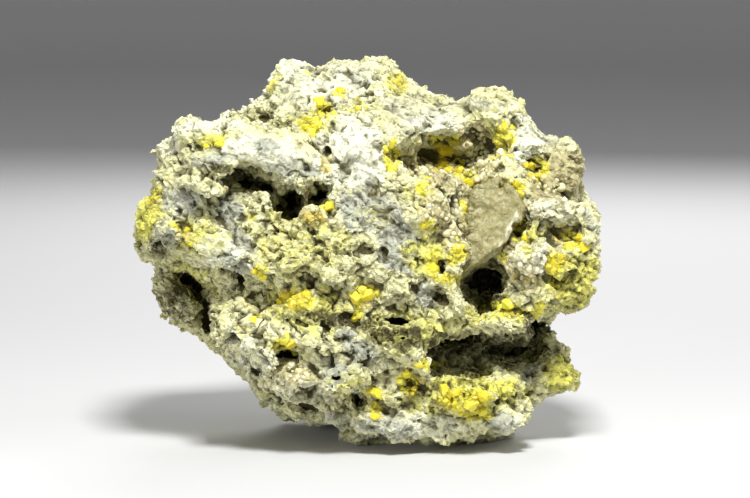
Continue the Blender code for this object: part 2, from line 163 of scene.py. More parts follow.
# Hollows dug into the face: across, down, half width, half height (pixels), depth (mm), roll (degrees).
PITS = {
    "pit_left_of_septum": (291, 205, 15, 20, 28, 8),
    "pit_right_of_septum": (321, 197, 11, 14, 24, 0),
    "brown_hole": (327, 150, 4, 5, 8, 0),
    "brow_hole_1": (338, 166, 3, 3, 4, 0),
    "brow_hole_2": (346, 172, 6, 3, 5, 15),
    "brow_hole_3": (353, 183, 5, 3, 4, 20),
    "brow_hole_4": (341, 182, 4, 3, 4, 0),
    "brow_hole_5": (362, 196, 8, 3, 4, 25),
    "brown_hole_below": (328, 165, 3, 4, 5, 0),
    "shelf_shadow_left": (241, 183, 12, 7, 12, 20),
    "shelf_shadow_right": (262, 188, 14, 7, 11, 22),
    "vug_wide": (452, 158, 34, 12, 10, 6),
    "vug_top_right": (475, 134, 13, 10, 8, 0),
    "vug_roof": (446, 143, 18, 9, 10, -8),
    "vug_left_lobe": (423, 158, 9, 9, 8, 0),
    "vug_floor_right": (495, 167, 12, 8, 6, 30),
    "vug_front_dip": (449, 181, 8, 6, 6, 0),
    "vug_front_dip_left": (428, 181, 6, 5, 5, 0),
    "vug_dark_left": (441, 166, 19, 12, 16, -8),
    "vug_dark_middle": (466, 168, 13, 9, 13, 20),
    "vug_dark_right": (484, 145, 11, 8, 7, 30),
    "hole_over_vug": (427, 125, 5, 5, 5, 0),
    "hole_over_vug_left": (388, 126, 5, 4, 4, 0),
    "hole_in_yellow": (442, 265, 8, 7, 10, 0),
    "cave": (486, 283, 21, 17, 26, -32),
    "cave_throat": (486, 307, 8, 12, 16, 5),
    "recess_slit": (456, 341, 34, 11, 30, -2),
    "recess_wide": (515, 353, 34, 12, 30, 0),
    "recess_under_bulge": (536, 329, 9, 14, 18, 0),
    "left_gap": (190, 286, 17, 8, 14, 35),
    "left_gap_low": (206, 313, 6, 16, 12, -12),
    "ridge_groove": (452, 208, 4, 13, 6, -15),
    "yellow_pit": (537, 168, 11, 10, 6, 0),
    "bulge_cavity": (566, 232, 14, 6, 7, 5),
    "lower_left_vug": (285, 357, 13, 7, 14, 0),
    "lower_left_hole": (252, 356, 7, 5, 6, 0),
    "notch": (358, 398, 7, 7, 12, 0),
    "brown_hole_middle": (383, 301, 4, 5, 5, 0),
    "hollow_middle_right": (400, 322, 18, 8, 14, 5),
    "hole_in_foot_sulfur": (417, 376, 3, 5, 6, 0),
    "hole_over_foot": (403, 368, 8, 4, 6, 10),
    "foot_hole_left": (442, 396, 6, 4, 5, 0),
    "foot_hole_low": (432, 401, 4, 3, 3, 0),
    "foot_dent": (495, 430, 8, 4, 4, -15),
    "recess_floor_hole": (471, 372, 11, 7, 9, 15),
    "crack_middle": (349, 315, 4, 11, 8, -40),
    "crack_long": (308, 325, 30, 4, 8, 15),
    "hollow_left_of_cave": (440, 300, 10, 7, 10, 30),
    "hollow_under_middle": (352, 325, 15, 6, 10, 15),
    "crack_centre": (325, 268, 22, 3, 6, 22),
    "crack_centre_right": (372, 252, 16, 3, 5, 30),
    "crack_centre_left": (268, 262, 16, 3, 6, 28),
    "crack_middle_left": (262, 308, 20, 3, 6, 25),
    "hole_middle_left": (255, 297, 8, 5, 5, 0),
    "hole_left": (229, 268, 8, 5, 5, 20),
    "hole_left_right": (247, 260, 7, 4, 4, 0),
    "crack_left": (223, 203, 10, 3, 4, 40),
    "hole_left_flank": (183, 215, 5, 3, 3, 0),
    "crack_upper": (273, 242, 9, 3, 4, 5),
    "crack_grey": (378, 212, 13, 3, 5, 35),
    "hole_grey": (362, 222, 4, 4, 4, 0),
    "under_tip": (157, 246, 11, 8, 8, 30),
    "undercut_left": (296, 406, 24, 8, 8, 20),
    "flank_hole": (254, 372, 9, 5, 8, 35),
    "flank_hole_upper": (236, 346, 7, 5, 7, 20),
    "flank_hole_low": (272, 396, 9, 5, 8, 25),
    "bulge_hole_low": (571, 278, 8, 6, 5, 0),
    "slab_groove": (521, 228, 6, 14, 9, 20),
    "bulge_hole_bottom": (556, 303, 6, 5, 6, 0),
}

# Lumps raised on the face, in the same way. Two more numbers are the place whose depth a lump takes.
LUMPS = {
    "shelf_left_foot": (214, 161, 30, 11, 12, 8, 214, 146),
    "shelf_left_low": (204, 184, 22, 12, 14, 18, 196, 206),
    "over_right_pit": (322, 173, 15, 9, 8, 0, 324, 158),
    "upper_right_block": (495, 107, 27, 18, 6, 5),
    "left_bulge": (216, 243, 34, 20, 7, 20),
    "shelf_middle": (285, 158, 34, 24, 5, 10, 285, 150),
    "brow": (352, 145, 22, 24, 5, 0),
    "top_left_knob": (283, 82, 17, 20, 6, 0, 283, 84),
    "centre_left": (300, 258, 24, 12, 6, 20),
    "centre": (334, 268, 18, 12, 6, 25),
    "centre_right": (378, 268, 18, 13, 6, 15),
    "under_vug": (412, 212, 20, 15, 6, 20),
    "left_of_cave": (450, 305, 15, 14, 7, 0),
    "over_recess": (410, 336, 18, 13, 7, 10),
    "foot_mound": (462, 398, 32, 13, 8, 0),
    "foot_tip": (508, 424, 20, 12, 6, -20, 508, 422),
    "bottom_left": (286, 386, 24, 12, 13, 36, 294, 386),
    "bottom_middle": (350, 378, 22, 16, 7, 0),
    "bulge_top": (556, 210, 30, 13, 6, 8),
    "bulge_front": (530, 258, 17, 17, 6, 0),
    "bulge_low": (535, 296, 22, 12, 6, -20, 535, 294),
    "tan_bulge": (562, 172, 22, 18, 5, 30),
    "ridge_left_of_slab": (462, 222, 8, 20, 5, -20),
    "left_middle": (250, 330, 16, 13, 6, 0),
    "low_left_edge": (258, 350, 24, 13, 14, 32, 266, 350),
    "low_left_druse": (299, 377, 18, 8, 11, 12),
    "low_grey_block": (331, 378, 15, 12, 11, 0),
    "low_knob_left": (297, 411, 9, 8, 10, 0, 300, 409),
    "low_knob": (335, 418, 13, 8, 10, 0, 336, 415),
    "lower_middle": (318, 346, 20, 9, 8, 15),
    "low_right_of_notch": (392, 392, 14, 12, 8, 0),
    "left_lower_edge": (226, 326, 13, 14, 12, 0, 242, 322),
}

# Where sulfur crystals grow: across, down, half width, half height, how thickly (0 to 1).
SULFUR_SPOTS = {
    "top_hollow": (324, 109, 9, 8, 1.0),
    "top_hollow_low": (310, 124, 12, 9, 1.0),
    "top_left": (340, 91, 6, 5, 0.8),
    "top_right": (357, 105, 6, 10, 0.7),
    "top_edge": (312, 68, 5, 5, 0.6),
    "top_shoulder": (400, 82, 7, 6, 0.6),
    "brow": (392, 158, 8, 15, 1.0),
    "vug_lip": (502, 139, 12, 17, 1.0),
    "vug_roof": (448, 143, 17, 7, 1.0),
    "vug_floor": (452, 164, 14, 9, 1.0),
    "vug_middle": (471, 178, 9, 8, 1.0),
    "vug_left_floor": (422, 187, 8, 8, 1.0),
    "yellow_pit": (538, 168, 11, 12, 1.0),
    "slab_top": (515, 187, 13, 8, 1.0),
    "slab_top_left": (496, 194, 5, 5, 1.0),
    "slab_left": (466, 210, 6, 8, 0.9),
    "slab_left_low": (472, 222, 6, 6, 0.9),
    "under_slab_left": (434, 262, 9, 14, 0.9),
    "under_slab_right": (457, 255, 11, 12, 1.0),
    "under_slab_low": (445, 280, 16, 7, 0.8),
    "left_of_slab": (430, 226, 9, 8, 0.7),
    "bulge_left": (520, 228, 7, 13, 1.0),
    "slab_right": (503, 258, 5, 6, 0.9),
    "bulge_cavity": (572, 240, 10, 10, 0.9),
    "bulge_middle": (556, 262, 9, 12, 0.9),
    "bulge_low": (556, 285, 7, 8, 0.7),
    "cave_floor": (505, 309, 15, 9, 1.0),
    "cave_right": (541, 307, 7, 7, 0.8),
    "middle_orange": (298, 300, 17, 9, 1.0),
    "middle_small": (258, 318, 7, 5, 0.7),
    "middle_right_upper": (368, 292, 13, 9, 0.9),
    "middle_right_low": (358, 314, 8, 9, 0.9),
    "lower_left_vug": (286, 345, 12, 8, 1.0),
    "foot_left": (408, 381, 11, 13, 0.9),
    "foot_left_low": (375, 390, 5, 4, 0.7),
    "foot_big": (466, 399, 24, 10, 1.0),
    "foot_low": (474, 414, 16, 8, 0.9),
    "foot_rim": (430, 365, 14, 6, 0.7),
    "spur": (576, 386, 5, 5, 0.5),
    "olive_bottom": (378, 408, 9, 6, 0.6),
    "left_edge": (153, 199, 5, 8, 0.8),
    "left_flank": (185, 227, 8, 6, 0.8),
    "left_flank_low": (186, 243, 7, 5, 0.5),
    "left_middle": (252, 217, 7, 6, 0.6),
    "upper_left_band": (214, 139, 12, 6, 0.6),
    "upper_left_spot": (206, 144, 8, 6, 0.6),
    "shelf_yellow": (262, 272, 8, 8, 0.6),
    "pit_side": (328, 208, 6, 8, 0.7),
}

# Where balls of calcite line the rock, in the same way.
CALCITE_SPOTS = {
    "vug_left": (412, 172, 20, 16, 1.0),
    "vug_left_low": (428, 194, 20, 8, 0.5),
    "vug_roof": (466, 136, 22, 14, 1.0),
    "vug_back": (470, 158, 20, 14, 1.0),
    "vug_right": (488, 163, 18, 14, 1.0),
    "vug_sill": (452, 196, 22, 9, 0.6),
    "ridge_left_of_slab": (445, 212, 18, 14, 0.9),
    "ridge_low": (458, 236, 12, 12, 0.9),
    "slab_top_band": (495, 178, 18, 7, 0.8),
    "bulge_tan": (545, 186, 20, 9, 0.8),
    "bulge_pink": (523, 268, 17, 15, 1.0),
    "bulge_pink_low": (532, 286, 14, 8, 0.8),
    "bulge_right": (545, 250, 10, 8, 0.6),
    "lower_left_druse": (297, 372, 12, 10, 0.8),
    "lower_left_druse_wide": (282, 384, 20, 12, 0.5),
}

# Notches in the slab's outline, in the same way.
SLAB_NOTCHES = {
    "top": (503, 185, 5, 7, 9, 10),
    "upper_left": (480, 180, 4, 4, 7, 0),
    "left": (469, 196, 3, 4, 7, 0),
    "left_low": (466, 240, 2, 7, 7, 0),
    "low": (484, 272, 5, 3, 7, -30),
    "right_low": (514, 239, 7, 28, 15, 30),
    "right_upper": (523, 199, 4, 5, 10, 0),
    "right_middle": (513, 226, 3, 4, 10, 0),
    "left_middle": (467, 221, 3, 5, 8, 0),
    "top_right": (513, 187, 4, 3, 9, 0),
}

# Where balls of calcite sit on the slab: across, down, half width, half height, how thickly.
SLAB_CRUST_SPOTS = {
    "left_edge": (471, 212, 5, 24, 1.0),
    "left_edge_low": (469, 248, 5, 14, 0.8),
    "top_left": (480, 184, 10, 5, 1.0),
    "top": (500, 184, 9, 4, 0.7),
}

# The slab's whitish edge runs through these places; its width is in pixels.
SLAB_PALE_EDGE = [(517, 212), (509, 228), (499, 246), (488, 260), (478, 271)]
PALE_EDGE_WIDTH = 2.6

# Patches of colour: across, down, half width, half height, roll in degrees, strength.
GREY_PATCHES = {
    "shelf_band": (208, 160, 34, 8, -4, 0.7),
    "shelf_dark": (266, 146, 13, 6, 0, 1.0),
    "shelf_front": (288, 168, 30, 12, 14, 0.7),
    "left_face": (181, 202, 22, 17, 20, 0.7),
    "left_face_right": (229, 211, 17, 15, 45, 0.9),
    "left_low": (162, 238, 14, 14, 30, 0.7),
    "left_ridge": (240, 236, 24, 8, 45, 0.8),
    "left_bottom": (232, 263, 18, 8, 30, 0.8),
    "pit_wall": (300, 210, 6, 14, 0, 0.5),
    "middle_large": (368, 208, 32, 22, 10, 1.0),
    "middle_large_right": (402, 240, 26, 18, 30, 0.9),
    "middle_low": (395, 262, 20, 10, 20, 0.8),
    "middle_right_dark": (426, 296, 14, 12, 40, 0.9),
    "centre_low": (345, 330, 12, 20, -10, 0.9),
    "centre_low_right": (362, 352, 22, 14, 20, 0.8),
    "lower_patch": (336, 372, 18, 14, 20, 0.8),
    "upper_right": (406, 118, 24, 30, 0, 0.45),
    "block": (478, 104, 42, 9, 4, 0.5),
    "block_left": (440, 112, 20, 8, 12, 0.4),
    "top_left": (285, 94, 14, 14, 0, 0.45),
    "top_middle": (348, 78, 22, 12, 0, 0.5),
    "brow_grey": (352, 168, 16, 14, 0, 0.5),
    "bottom_ledge": (386, 428, 34, 12, 8, 0.7),
    "foot_grey": (500, 420, 12, 20, -25, 0.8),
    "bottom_knobs": (334, 421, 16, 10, 0, 0.7),
    "spur_grey": (530, 372, 8, 16, 20, 0.8),
    "right_edge_grey": (590, 222, 6, 14, -20, 0.6),
    "slab_side_grey": (456, 230, 12, 16, 0, 0.6),
}
YELLOW_PATCHES = {
    "upper_left_rim": (198, 136, 40, 12, -6, 0.5),
    "left_edge": (148, 215, 12, 30, 15, 0.9),
    "left_middle": (206, 240, 34, 22, 20, 0.6),
    "left_low": (192, 276, 30, 16, 30, 0.6),
    "middle": (300, 250, 60, 40, 15, 0.5),
    "middle_grey": (372, 214, 26, 16, 20, 0.5),
    "middle_low": (310, 310, 60, 30, 10, 0.6),
    "middle_right": (415, 330, 60, 26, 0, 0.6),
    "left_of_slab": (425, 250, 26, 24, 0, 0.7),
    "top_left_edge": (270, 80, 10, 24, 20, 0.7),
    "top_right": (396, 84, 14, 12, 0, 0.8),
    "top_middle": (330, 118, 44, 18, -10, 0.5),
    "under_vug": (420, 196, 22, 14, 0, 0.5),
    "right_bulge": (570, 280, 34, 34, 0, 0.7),
    "right_bulge_upper": (560, 224, 36, 20, 0, 0.4),
    "slab_right": (530, 240, 10, 22, 0, 0.8),
    "cave_floor": (500, 312, 40, 14, 0, 0.7),
    "foot": (470, 395, 60, 24, -5, 0.8),
    "spur": (565, 375, 22, 20, 20, 0.8),
    "lower_left": (265, 345, 40, 24, 15, 0.5),
    "lower_middle": (350, 385, 30, 20, 20, 0.5),
    "vug_lip": (500, 128, 20, 24, 0, 0.6),
}
WHITE_PATCHES = {
    "shelf": (262, 152, 50, 16, 5, 0.7),
    "brow": (352, 150, 36, 40, 0, 1.0),
    "middle_top": (355, 205, 34, 26, 0, 0.3),
    "top": (330, 85, 60, 26, 0, 0.6),
    "right_shoulder": (520, 135, 34, 24, 30, 0.9),
    "left_bulge": (225, 250, 30, 22, 20, 0.8),
    "bottom": (420, 425, 60, 16, 0, 0.6),
    "foot_tip": (512, 430, 16, 14, 0, 0.7),
    "right_bulge_top": (545, 210, 40, 14, 10, 0.6),
    "bulge_front": (535, 262, 26, 22, 0, 0.6),
    "lower_left": (300, 390, 36, 12, 10, 0.5),
    "over_vug": (436, 122, 34, 12, 8, 0.9),
    "upper_left_rim": (200, 128, 40, 10, -4, 0.7),
    "top_left_knob": (280, 74, 20, 14, 0, 0.7),
    "foot_mound": (440, 412, 30, 10, 0, 0.5),
    "left_middle": (262, 330, 30, 12, 10, 0.5),
    "upper_left_corner": (165, 138, 20, 16, 0, 0.7),
    # lower_left_flank is partly the rock's cream and partly painted light on a flank that faces away from
    # the lamps.
    "lower_left_flank": (252, 354, 34, 20, 38, 0.8),
    "lower_left_foot": (290, 384, 26, 12, 20, 0.6),
}
SMOOTH_PATCHES = {
    "shelf": (262, 150, 62, 22, 5, 0.8),
    "upper_left_rim": (190, 135, 34, 14, -10, 0.5),
    "brow": (352, 152, 34, 34, 0, 0.8),
    "brow_right": (372, 190, 26, 18, 20, 0.3),
    "top_grey": (290, 84, 20, 20, 0, 0.6),
    "top_middle": (345, 78, 26, 14, 0, 0.5),
    "block": (478, 106, 44, 14, 4, 0.9),
    "upper_right": (410, 112, 28, 30, 0, 0.6),
    "right_shoulder": (535, 140, 26, 16, 35, 0.7),
    "left_bulge": (218, 244, 34, 24, 20, 0.4),
    "middle_grey": (380, 226, 30, 22, 20, 0.35),
    "left_of_slab": (425, 242, 20, 18, 30, 0.5),
    "bulge_top": (560, 212, 32, 12, 10, 0.4),
    "bottom_knobs": (330, 420, 24, 12, 0, 0.6),
    "bottom_ledge": (400, 424, 40, 12, 5, 0.6),
    "foot_tip": (508, 425, 20, 16, -20, 0.6),
    "lower_middle": (330, 372, 24, 18, 20, 0.4),
}
DARK_HOLLOWS = {
    "recess_left": (458, 342, 42, 13, -3, 1.0),
    "recess_right": (515, 354, 42, 20, 0, 1.0),
    "cave": (486, 290, 26, 28, -20, 1.0),
    "left_gap": (192, 288, 24, 14, 35, 1.0),
    "left_gap_low": (206, 313, 10, 20, -12, 1.0),
}
# Painted shade: the recess, the cave, the gaps, the lobe behind the body and the places under overhangs
# and ledges are painted darker, in the same way.
PAINTED_SHADE_PATCHES = {
    "recess_left": (458, 342, 42, 14, -3, 0.9),
    "recess_right": (515, 352, 42, 18, 0, 0.85),
    "recess_under_bulge": (537, 328, 14, 18, 0, 0.9),
    "recess_floor_hole": (470, 374, 16, 10, 10, 0.8),
    "cave": (486, 288, 26, 26, -20, 0.9),
    "left_gap": (192, 290, 22, 14, 35, 1.0),
    "left_gap_low": (206, 313, 10, 20, -12, 1.0),
    "left_lobe": (172, 304, 26, 26, 30, 0.75),
    "shelf_hollow": (246, 181, 34, 9, 27, 0.7),
    "brow_edge": (344, 174, 16, 8, 20, 0.5),
    "under_brow": (352, 196, 24, 8, 25, 0.4),
    "pit_side": (300, 235, 34, 10, 12, 0.5),
    "pit_rim": (296, 190, 18, 8, 20, 0.6),
    "shelf_under": (232, 172, 36, 7, 12, 0.8),
    "left_face": (176, 214, 18, 8, 20, 0.4),
    "left_groove": (212, 214, 16, 6, 60, 0.7),
    "left_low": (160, 250, 14, 12, 40, 0.8),
    "middle_low": (350, 322, 50, 9, 10, 0.9),
    "middle_right": (398, 335, 40, 16, 10, 0.9),
    "middle_band": (300, 318, 34, 7, 12, 0.6),
    "middle_left": (262, 296, 26, 8, 15, 0.6),
    "cave_left": (440, 300, 18, 10, 30, 0.8),
    "under_vug": (430, 236, 14, 8, -40, 0.5),
    "bulge_low": (560, 300, 26, 10, -20, 0.4),
    "bulge_left": (530, 225, 10, 14, 0, 0.6),
    "lower_left": (300, 402, 26, 8, 10, 0.6),
    "lower_middle": (320, 400, 40, 8, 5, 0.6),
    "foot_left": (420, 400, 22, 12, 0, 0.6),
    "under_tan_bulge": (560, 192, 20, 4, 0, 0.6),
}
TAN_PATCHES = {
    "vug": (452, 168, 42, 24, 8, 1.0),
    "vug_roof": (474, 138, 20, 13, 0, 1.0),
    "slab_ridge": (446, 218, 24, 26, -20, 0.9),
    "slab_seat": (492, 225, 36, 44, 25, 0.9),
    "tan_bulge": (562, 176, 28, 26, 30, 1.0),
    "tan_bulge_low": (545, 192, 26, 10, 0, 0.9),
    "bulge_pink": (524, 272, 20, 20, 0, 0.6),
    "bulge_cavity": (560, 245, 22, 16, 20, 0.5),
    "lower_left_druse": (292, 376, 24, 16, 10, 0.7),
    "septum": (305, 205, 6, 22, 5, 0.8),
    "top_tan": (318, 70, 10, 8, 0, 0.5),
}
ORANGE_PATCHES = {
    "septum_foot": (314, 218, 12, 9, 0, 1.0),
    # vug_left and yellow_pit are partly the crystals' deeper colour and partly painted shade where they
    # lie in the hollows.
    "vug_left": (440, 160, 18, 13, 0, 1.0),
    "yellow_pit": (537, 168, 12, 12, 0, 0.9),
    "middle_orange": (296, 300, 18, 9, 0, 1.0),
    "top_shoulder": (400, 82, 9, 9, 0, 0.7),
    "left_edge": (156, 200, 6, 10, 0, 0.7),
    "left_flank": (186, 234, 9, 8, 0, 0.6),
    "bulge_cavity": (562, 236, 16, 9, 10, 0.9),
    "bulge_low": (558, 264, 12, 14, 0, 0.6),
    "bulge_pink": (525, 278, 18, 8, 0, 0.5),
    "foot_big": (458, 402, 26, 12, 0, 0.55),
    "foot_hole": (417, 384, 12, 12, 0, 0.7),
    "spur": (568, 372, 16, 18, 20, 0.25),
    "vug_lip": (502, 146, 10, 10, 0, 0.7),
    "brow": (390, 160, 8, 10, 0, 0.6),
    "under_slab": (450, 252, 14, 10, 0, 0.4),
    "middle_right": (366, 300, 14, 12, 0, 0.5),
    "olive_bottom": (378, 408, 10, 8, 0, 0.6),
    "brown_hole": (327, 158, 8, 14, 0, 0.6),
    "slab_left": (470, 216, 9, 14, 0, 0.5),
    "lower_left_vug": (284, 348, 14, 10, 0, 0.5),
}


def line_of_sight(across, down):
    """From the eye through a place in the view."""
    reach = FORWARD * CAMERA_DISTANCE
    reach += Vector(((across - VIEW_WIDTH / 2) * PIXEL, 0, 0))
    reach += UPWARD * ((VIEW_HEIGHT / 2 - down) * PIXEL)
    return EYE, reach.normalized()


def places_in_view(points):
    """Across and down in the view for an array of points."""
    offset = points - np.array(EYE)
    far = offset @ np.array(FORWARD)
    scale = CAMERA_DISTANCE / PIXEL / far
    across = VIEW_WIDTH / 2 + offset[:, 0] * scale
    down = VIEW_HEIGHT / 2 - (offset @ np.array(UPWARD)) * scale
    return across, down


def add_object(name, data):
    made = bpy.data.objects.new(name, data)
    bpy.context.scene.collection.objects.link(made)
    return made


def remove_object(obj):
    bpy.data.objects.remove(obj, do_unlink=True)


def add_camera():
    camera = bpy.data.cameras.new("camera")
    camera.sensor_width = SENSOR_WIDTH
    camera.lens = SENSOR_WIDTH * CAMERA_DISTANCE / PIXEL / VIEW_WIDTH
    camera.clip_end = 20.0
    holder = add_object("camera", camera)
    holder.location = EYE
    holder.rotation_euler = FORWARD.to_track_quat("-Z", "Y").to_euler()
    bpy.context.scene.camera = holder


def apply_modifiers(obj):
    graph = bpy.context.evaluated_depsgraph_get()
    mesh = bpy.data.meshes.new_from_object(obj.evaluated_get(graph), depsgraph=graph)
    obj.modifiers.clear()
    obj.data = mesh


def fuse(obj, voxel):
    remesh = obj.modifiers.new("fuse", "REMESH")
    remesh.mode = "VOXEL"
    remesh.voxel_size = voxel
    apply_modifiers(obj)


def mesh_from(bm, name):
    mesh = bpy.data.meshes.new(name)
    bm.to_mesh(mesh)
    bm.free()
    return mesh


def rows_of(mesh, name):
    """One row of three numbers for each vertex: its place, co, or its normal."""
    flat = np.empty(len(mesh.vertices) * 3)
    mesh.vertices.foreach_get(name, flat)
    return flat.reshape(-1, 3)


def points_of(mesh):
    return rows_of(mesh, "co")


def normals_of(mesh):
    return rows_of(mesh, "normal")


def set_points(mesh, points):
    mesh.vertices.foreach_set("co", np.ascontiguousarray(points).ravel())
    mesh.update()


def set_field(mesh, name, values, kind="FLOAT"):
    """Stores one number, or one vector, for each vertex."""
    field = mesh.attributes.get(name) or mesh.attributes.new(name, kind, "POINT")
    flat = np.ascontiguousarray(values, dtype=np.float32).ravel()
    field.data.foreach_set("value" if kind == "FLOAT" else "vector", flat)


def field_of(mesh, name):
    values = np.empty(len(mesh.vertices), dtype=np.float32)
    mesh.attributes[name].data.foreach_get("value", values)
    return values


def skin_of(mesh):
    bm = bmesh.new()
    bm.from_mesh(mesh)
    skin = BVHTree.FromBMesh(bm)
    bm.free()
    return skin


def averaged(mesh, values, steps):
    """Values of the vertices, each blended with its neighbours' a number of times."""
    ends = np.empty(len(mesh.edges) * 2, dtype=np.int64)
    mesh.edges.foreach_get("vertices", ends)
    first, second = ends[0::2], ends[1::2]
    count = len(values)
    degree = np.bincount(first, minlength=count) + np.bincount(second, minlength=count)
    blend = values.copy()
    for _ in range(steps):
        for axis in range(values.shape[1]):
            column = blend[:, axis]
            total = np.bincount(first, weights=column[second], minlength=count)
            total += np.bincount(second, weights=column[first], minlength=count)
            blend[:, axis] = 0.5 * column + 0.5 * total / np.maximum(degree, 1)
    return blend


def set_outward(mesh, steps):
    """Stores the way out of the surface, evened over its neighbourhood."""
    way = averaged(mesh, normals_of(mesh), steps)
    way /= np.maximum(np.linalg.norm(way, axis=1), 1e-6)[:, None]
    set_field(mesh, "outward", way, "FLOAT_VECTOR")


def noise_at(points, size, seed, octaves=3):
    """Smooth noise of about -1 to 1 at each point; size is the width of its clouds."""
    shift = Vector((seed * 3.7, seed * 1.3, seed * 2.9))
    return np.array([
        noise.fractal(Vector(point) / size + shift, 0.9, 2.0, octaves) for point in points
    ])


# --- Nodes ----------------------------------------------------------------------------------------

def add_node(tree, kind, inputs=None, **settings):
    """A node with its settings; an input is a value, or the socket that feeds it."""
    node = tree.nodes.new(kind)
    for name, value in settings.items():
        setattr(node, name, value)
    for key, value in (inputs or {}).items():
        if isinstance(value, bpy.types.NodeSocket):
            tree.links.new(value, node.inputs[key])
        else:
            node.inputs[key].default_value = value
    return node


def typed(tree, kind, inputs, data_type="FLOAT"):
    """The output in use on a node that has one for each type of value."""
    node = add_node(tree, kind, inputs, data_type=data_type)
    return [socket for socket in node.outputs if socket.enabled][0]


def numbers(tree, how, *values):
    """One step of arithmetic on numbers."""
    return add_node(tree, "ShaderNodeMath", dict(enumerate(values)), operation=how).outputs[0]


def vectors(tree, how, first, second):
    """One step of arithmetic on vectors."""
    node = add_node(tree, "ShaderNodeVectorMath", {0: first, 1: second}, operation=how)
    return node.outputs["Value" if how == "DOT_PRODUCT" else "Vector"]


def scaled(tree, vector, factor):
    node = add_node(tree, "ShaderNodeVectorMath", {0: vector, "Scale": factor}, operation="SCALE")
    return node.outputs["Vector"]


def vector_of(tree, across, deep, high):
    return add_node(tree, "ShaderNodeCombineXYZ", {"X": across, "Y": deep, "Z": high}).outputs[0]


def between(tree, value, low, high, start=0.0, end=1.0):
    """The value as it goes from low to high, spread over start to end."""
    spread = {"Value": value, "From Min": low, "From Max": high, "To Min": start, "To Max": end}
    return add_node(tree, "ShaderNodeMapRange", spread).outputs[0]


def tipped(tree, place, angle, squash):
    """Places turned about the line into the picture, then squashed."""
    inputs = {"Vector": place, "Angle": angle}
    turned = add_node(tree, "ShaderNodeVectorRotate", inputs, rotation_type="Y_AXIS")
    return vectors(tree, "MULTIPLY", turned.outputs[0], squash)


def cell_slope(tree, place, per_metre):
    """In each cell of broken ground, a plane tilted its own way, and that way."""
    cells = add_node(tree, "ShaderNodeTexVoronoi", {"Vector": place, "Scale": per_metre}).outputs
    way = vectors(tree, "SUBTRACT", cells["Color"], (0.5, 0.5, 0.5))
    inside = vectors(tree, "SUBTRACT", place, cells["Position"])
    return vectors(tree, "DOT_PRODUCT", scaled(tree, inside, per_metre), way), way


def cell_border(tree, place, per_metre):
    """How far a place lies from the border of its cell, in cells."""
    inputs = {"Vector": place, "Scale": per_metre}
    return add_node(tree, "ShaderNodeTexVoronoi", inputs, feature="DISTANCE_TO_EDGE").outputs["Distance"]


def new_tree(name, amounts, **others):
    """A Geometry Nodes tree with named inputs: amounts with their values, others with their kinds."""
    tree = bpy.data.node_groups.new(name, "GeometryNodeTree")
    add_socket = tree.interface.new_socket
    add_socket("Geometry", in_out="INPUT", socket_type="NodeSocketGeometry")
    for label, amount in amounts.items():
        add_socket(label, in_out="INPUT", socket_type="NodeSocketFloat").default_value = amount
    for label, kind in others.items():
        add_socket(label, in_out="INPUT", socket_type="NodeSocket" + kind)
    add_socket("Geometry", in_out="OUTPUT", socket_type="NodeSocketGeometry")
    return tree


def run_tree(obj, tree, values):
    """Runs a tree on the object with the named values and keeps the result as its mesh."""
    run = obj.modifiers.new(tree.name, "NODES")
    run.node_group = tree
    for item in tree.interface.items_tree:
        if item.item_type == "SOCKET" and item.in_out == "INPUT" and item.name in values:
            run[item.identifier] = values[item.name]
    obj.update_tag()
    apply_modifiers(obj)


def crumble_tree():
    """Breaks a surface into tilted flat facets, cell by cell, with creases between the cells."""
    tree = new_tree("crumble", {
        "Cell": 10 * MM, "Step": 1 * MM, "Tilt": 1 * MM, "Crease": 0.0, "Ledge": 0.0,
        "Warp": 0.4, "Dip": 0.5, "Flatten": 1.0, "Seed": 0.0,
    })
    given = add_node(tree, "NodeGroupInput").outputs
    place = add_node(tree, "GeometryNodeInputPosition").outputs[0]
    moved = vectors(tree, "ADD", place, vector_of(tree, given["Seed"], given["Seed"], 0.0))
    per_metre = numbers(tree, "DIVIDE", 1.0, given["Cell"])
    wobble = add_node(
        tree, "ShaderNodeTexNoise", {"Vector": moved, "Scale": per_metre, "Detail": 2.0, "Roughness": 0.6},
    ).outputs
    centred = vectors(tree, "SUBTRACT", wobble["Color"], (0.5, 0.5, 0.5))
    reach = numbers(tree, "MULTIPLY", given["Cell"], given["Warp"])
    bent = vectors(tree, "ADD", moved, scaled(tree, centred, reach))
    ready = tipped(tree, bent, given["Dip"], vector_of(tree, 1.0, 1.0, given["Flatten"]))
    slope, way = cell_slope(tree, ready, per_metre)
    level = add_node(tree, "ShaderNodeSeparateXYZ", {0: way}).outputs["X"]
    crease = between(tree, cell_border(tree, ready, per_metre), 0.0, CREASE_WIDTH, -1.0, 0.0)
    height = add_node(tree, "ShaderNodeSeparateXYZ", {0: ready}).outputs["Z"]
    in_layers = numbers(tree, "MULTIPLY", height, per_metre)
    ragged = numbers(tree, "MULTIPLY", wobble[0], LAYER_WAVINESS)
    in_layer = numbers(tree, "FRACT", numbers(tree, "ADD", in_layers, ragged))
    lean = numbers(tree, "SUBTRACT", 0.5, in_layer)
    rise = numbers(tree, "MULTIPLY", slope, given["Tilt"])
    for share, amount in ((level, "Step"), (lean, "Ledge"), (crease, "Crease")):
        rise = numbers(tree, "ADD", rise, numbers(tree, "MULTIPLY", share, given[amount]))
    rough = typed(tree, "GeometryNodeInputNamedAttribute", {"Name": "rough"})
    outward = typed(tree, "GeometryNodeInputNamedAttribute", {"Name": "outward"}, "FLOAT_VECTOR")
    push = scaled(tree, outward, numbers(tree, "MULTIPLY", rise, rough))
    pushed = add_node(tree, "GeometryNodeSetPosition", {"Geometry": given["Geometry"], "Offset": push})
    add_node(tree, "NodeGroupOutput", {"Geometry": pushed.outputs[0]})
    return tree


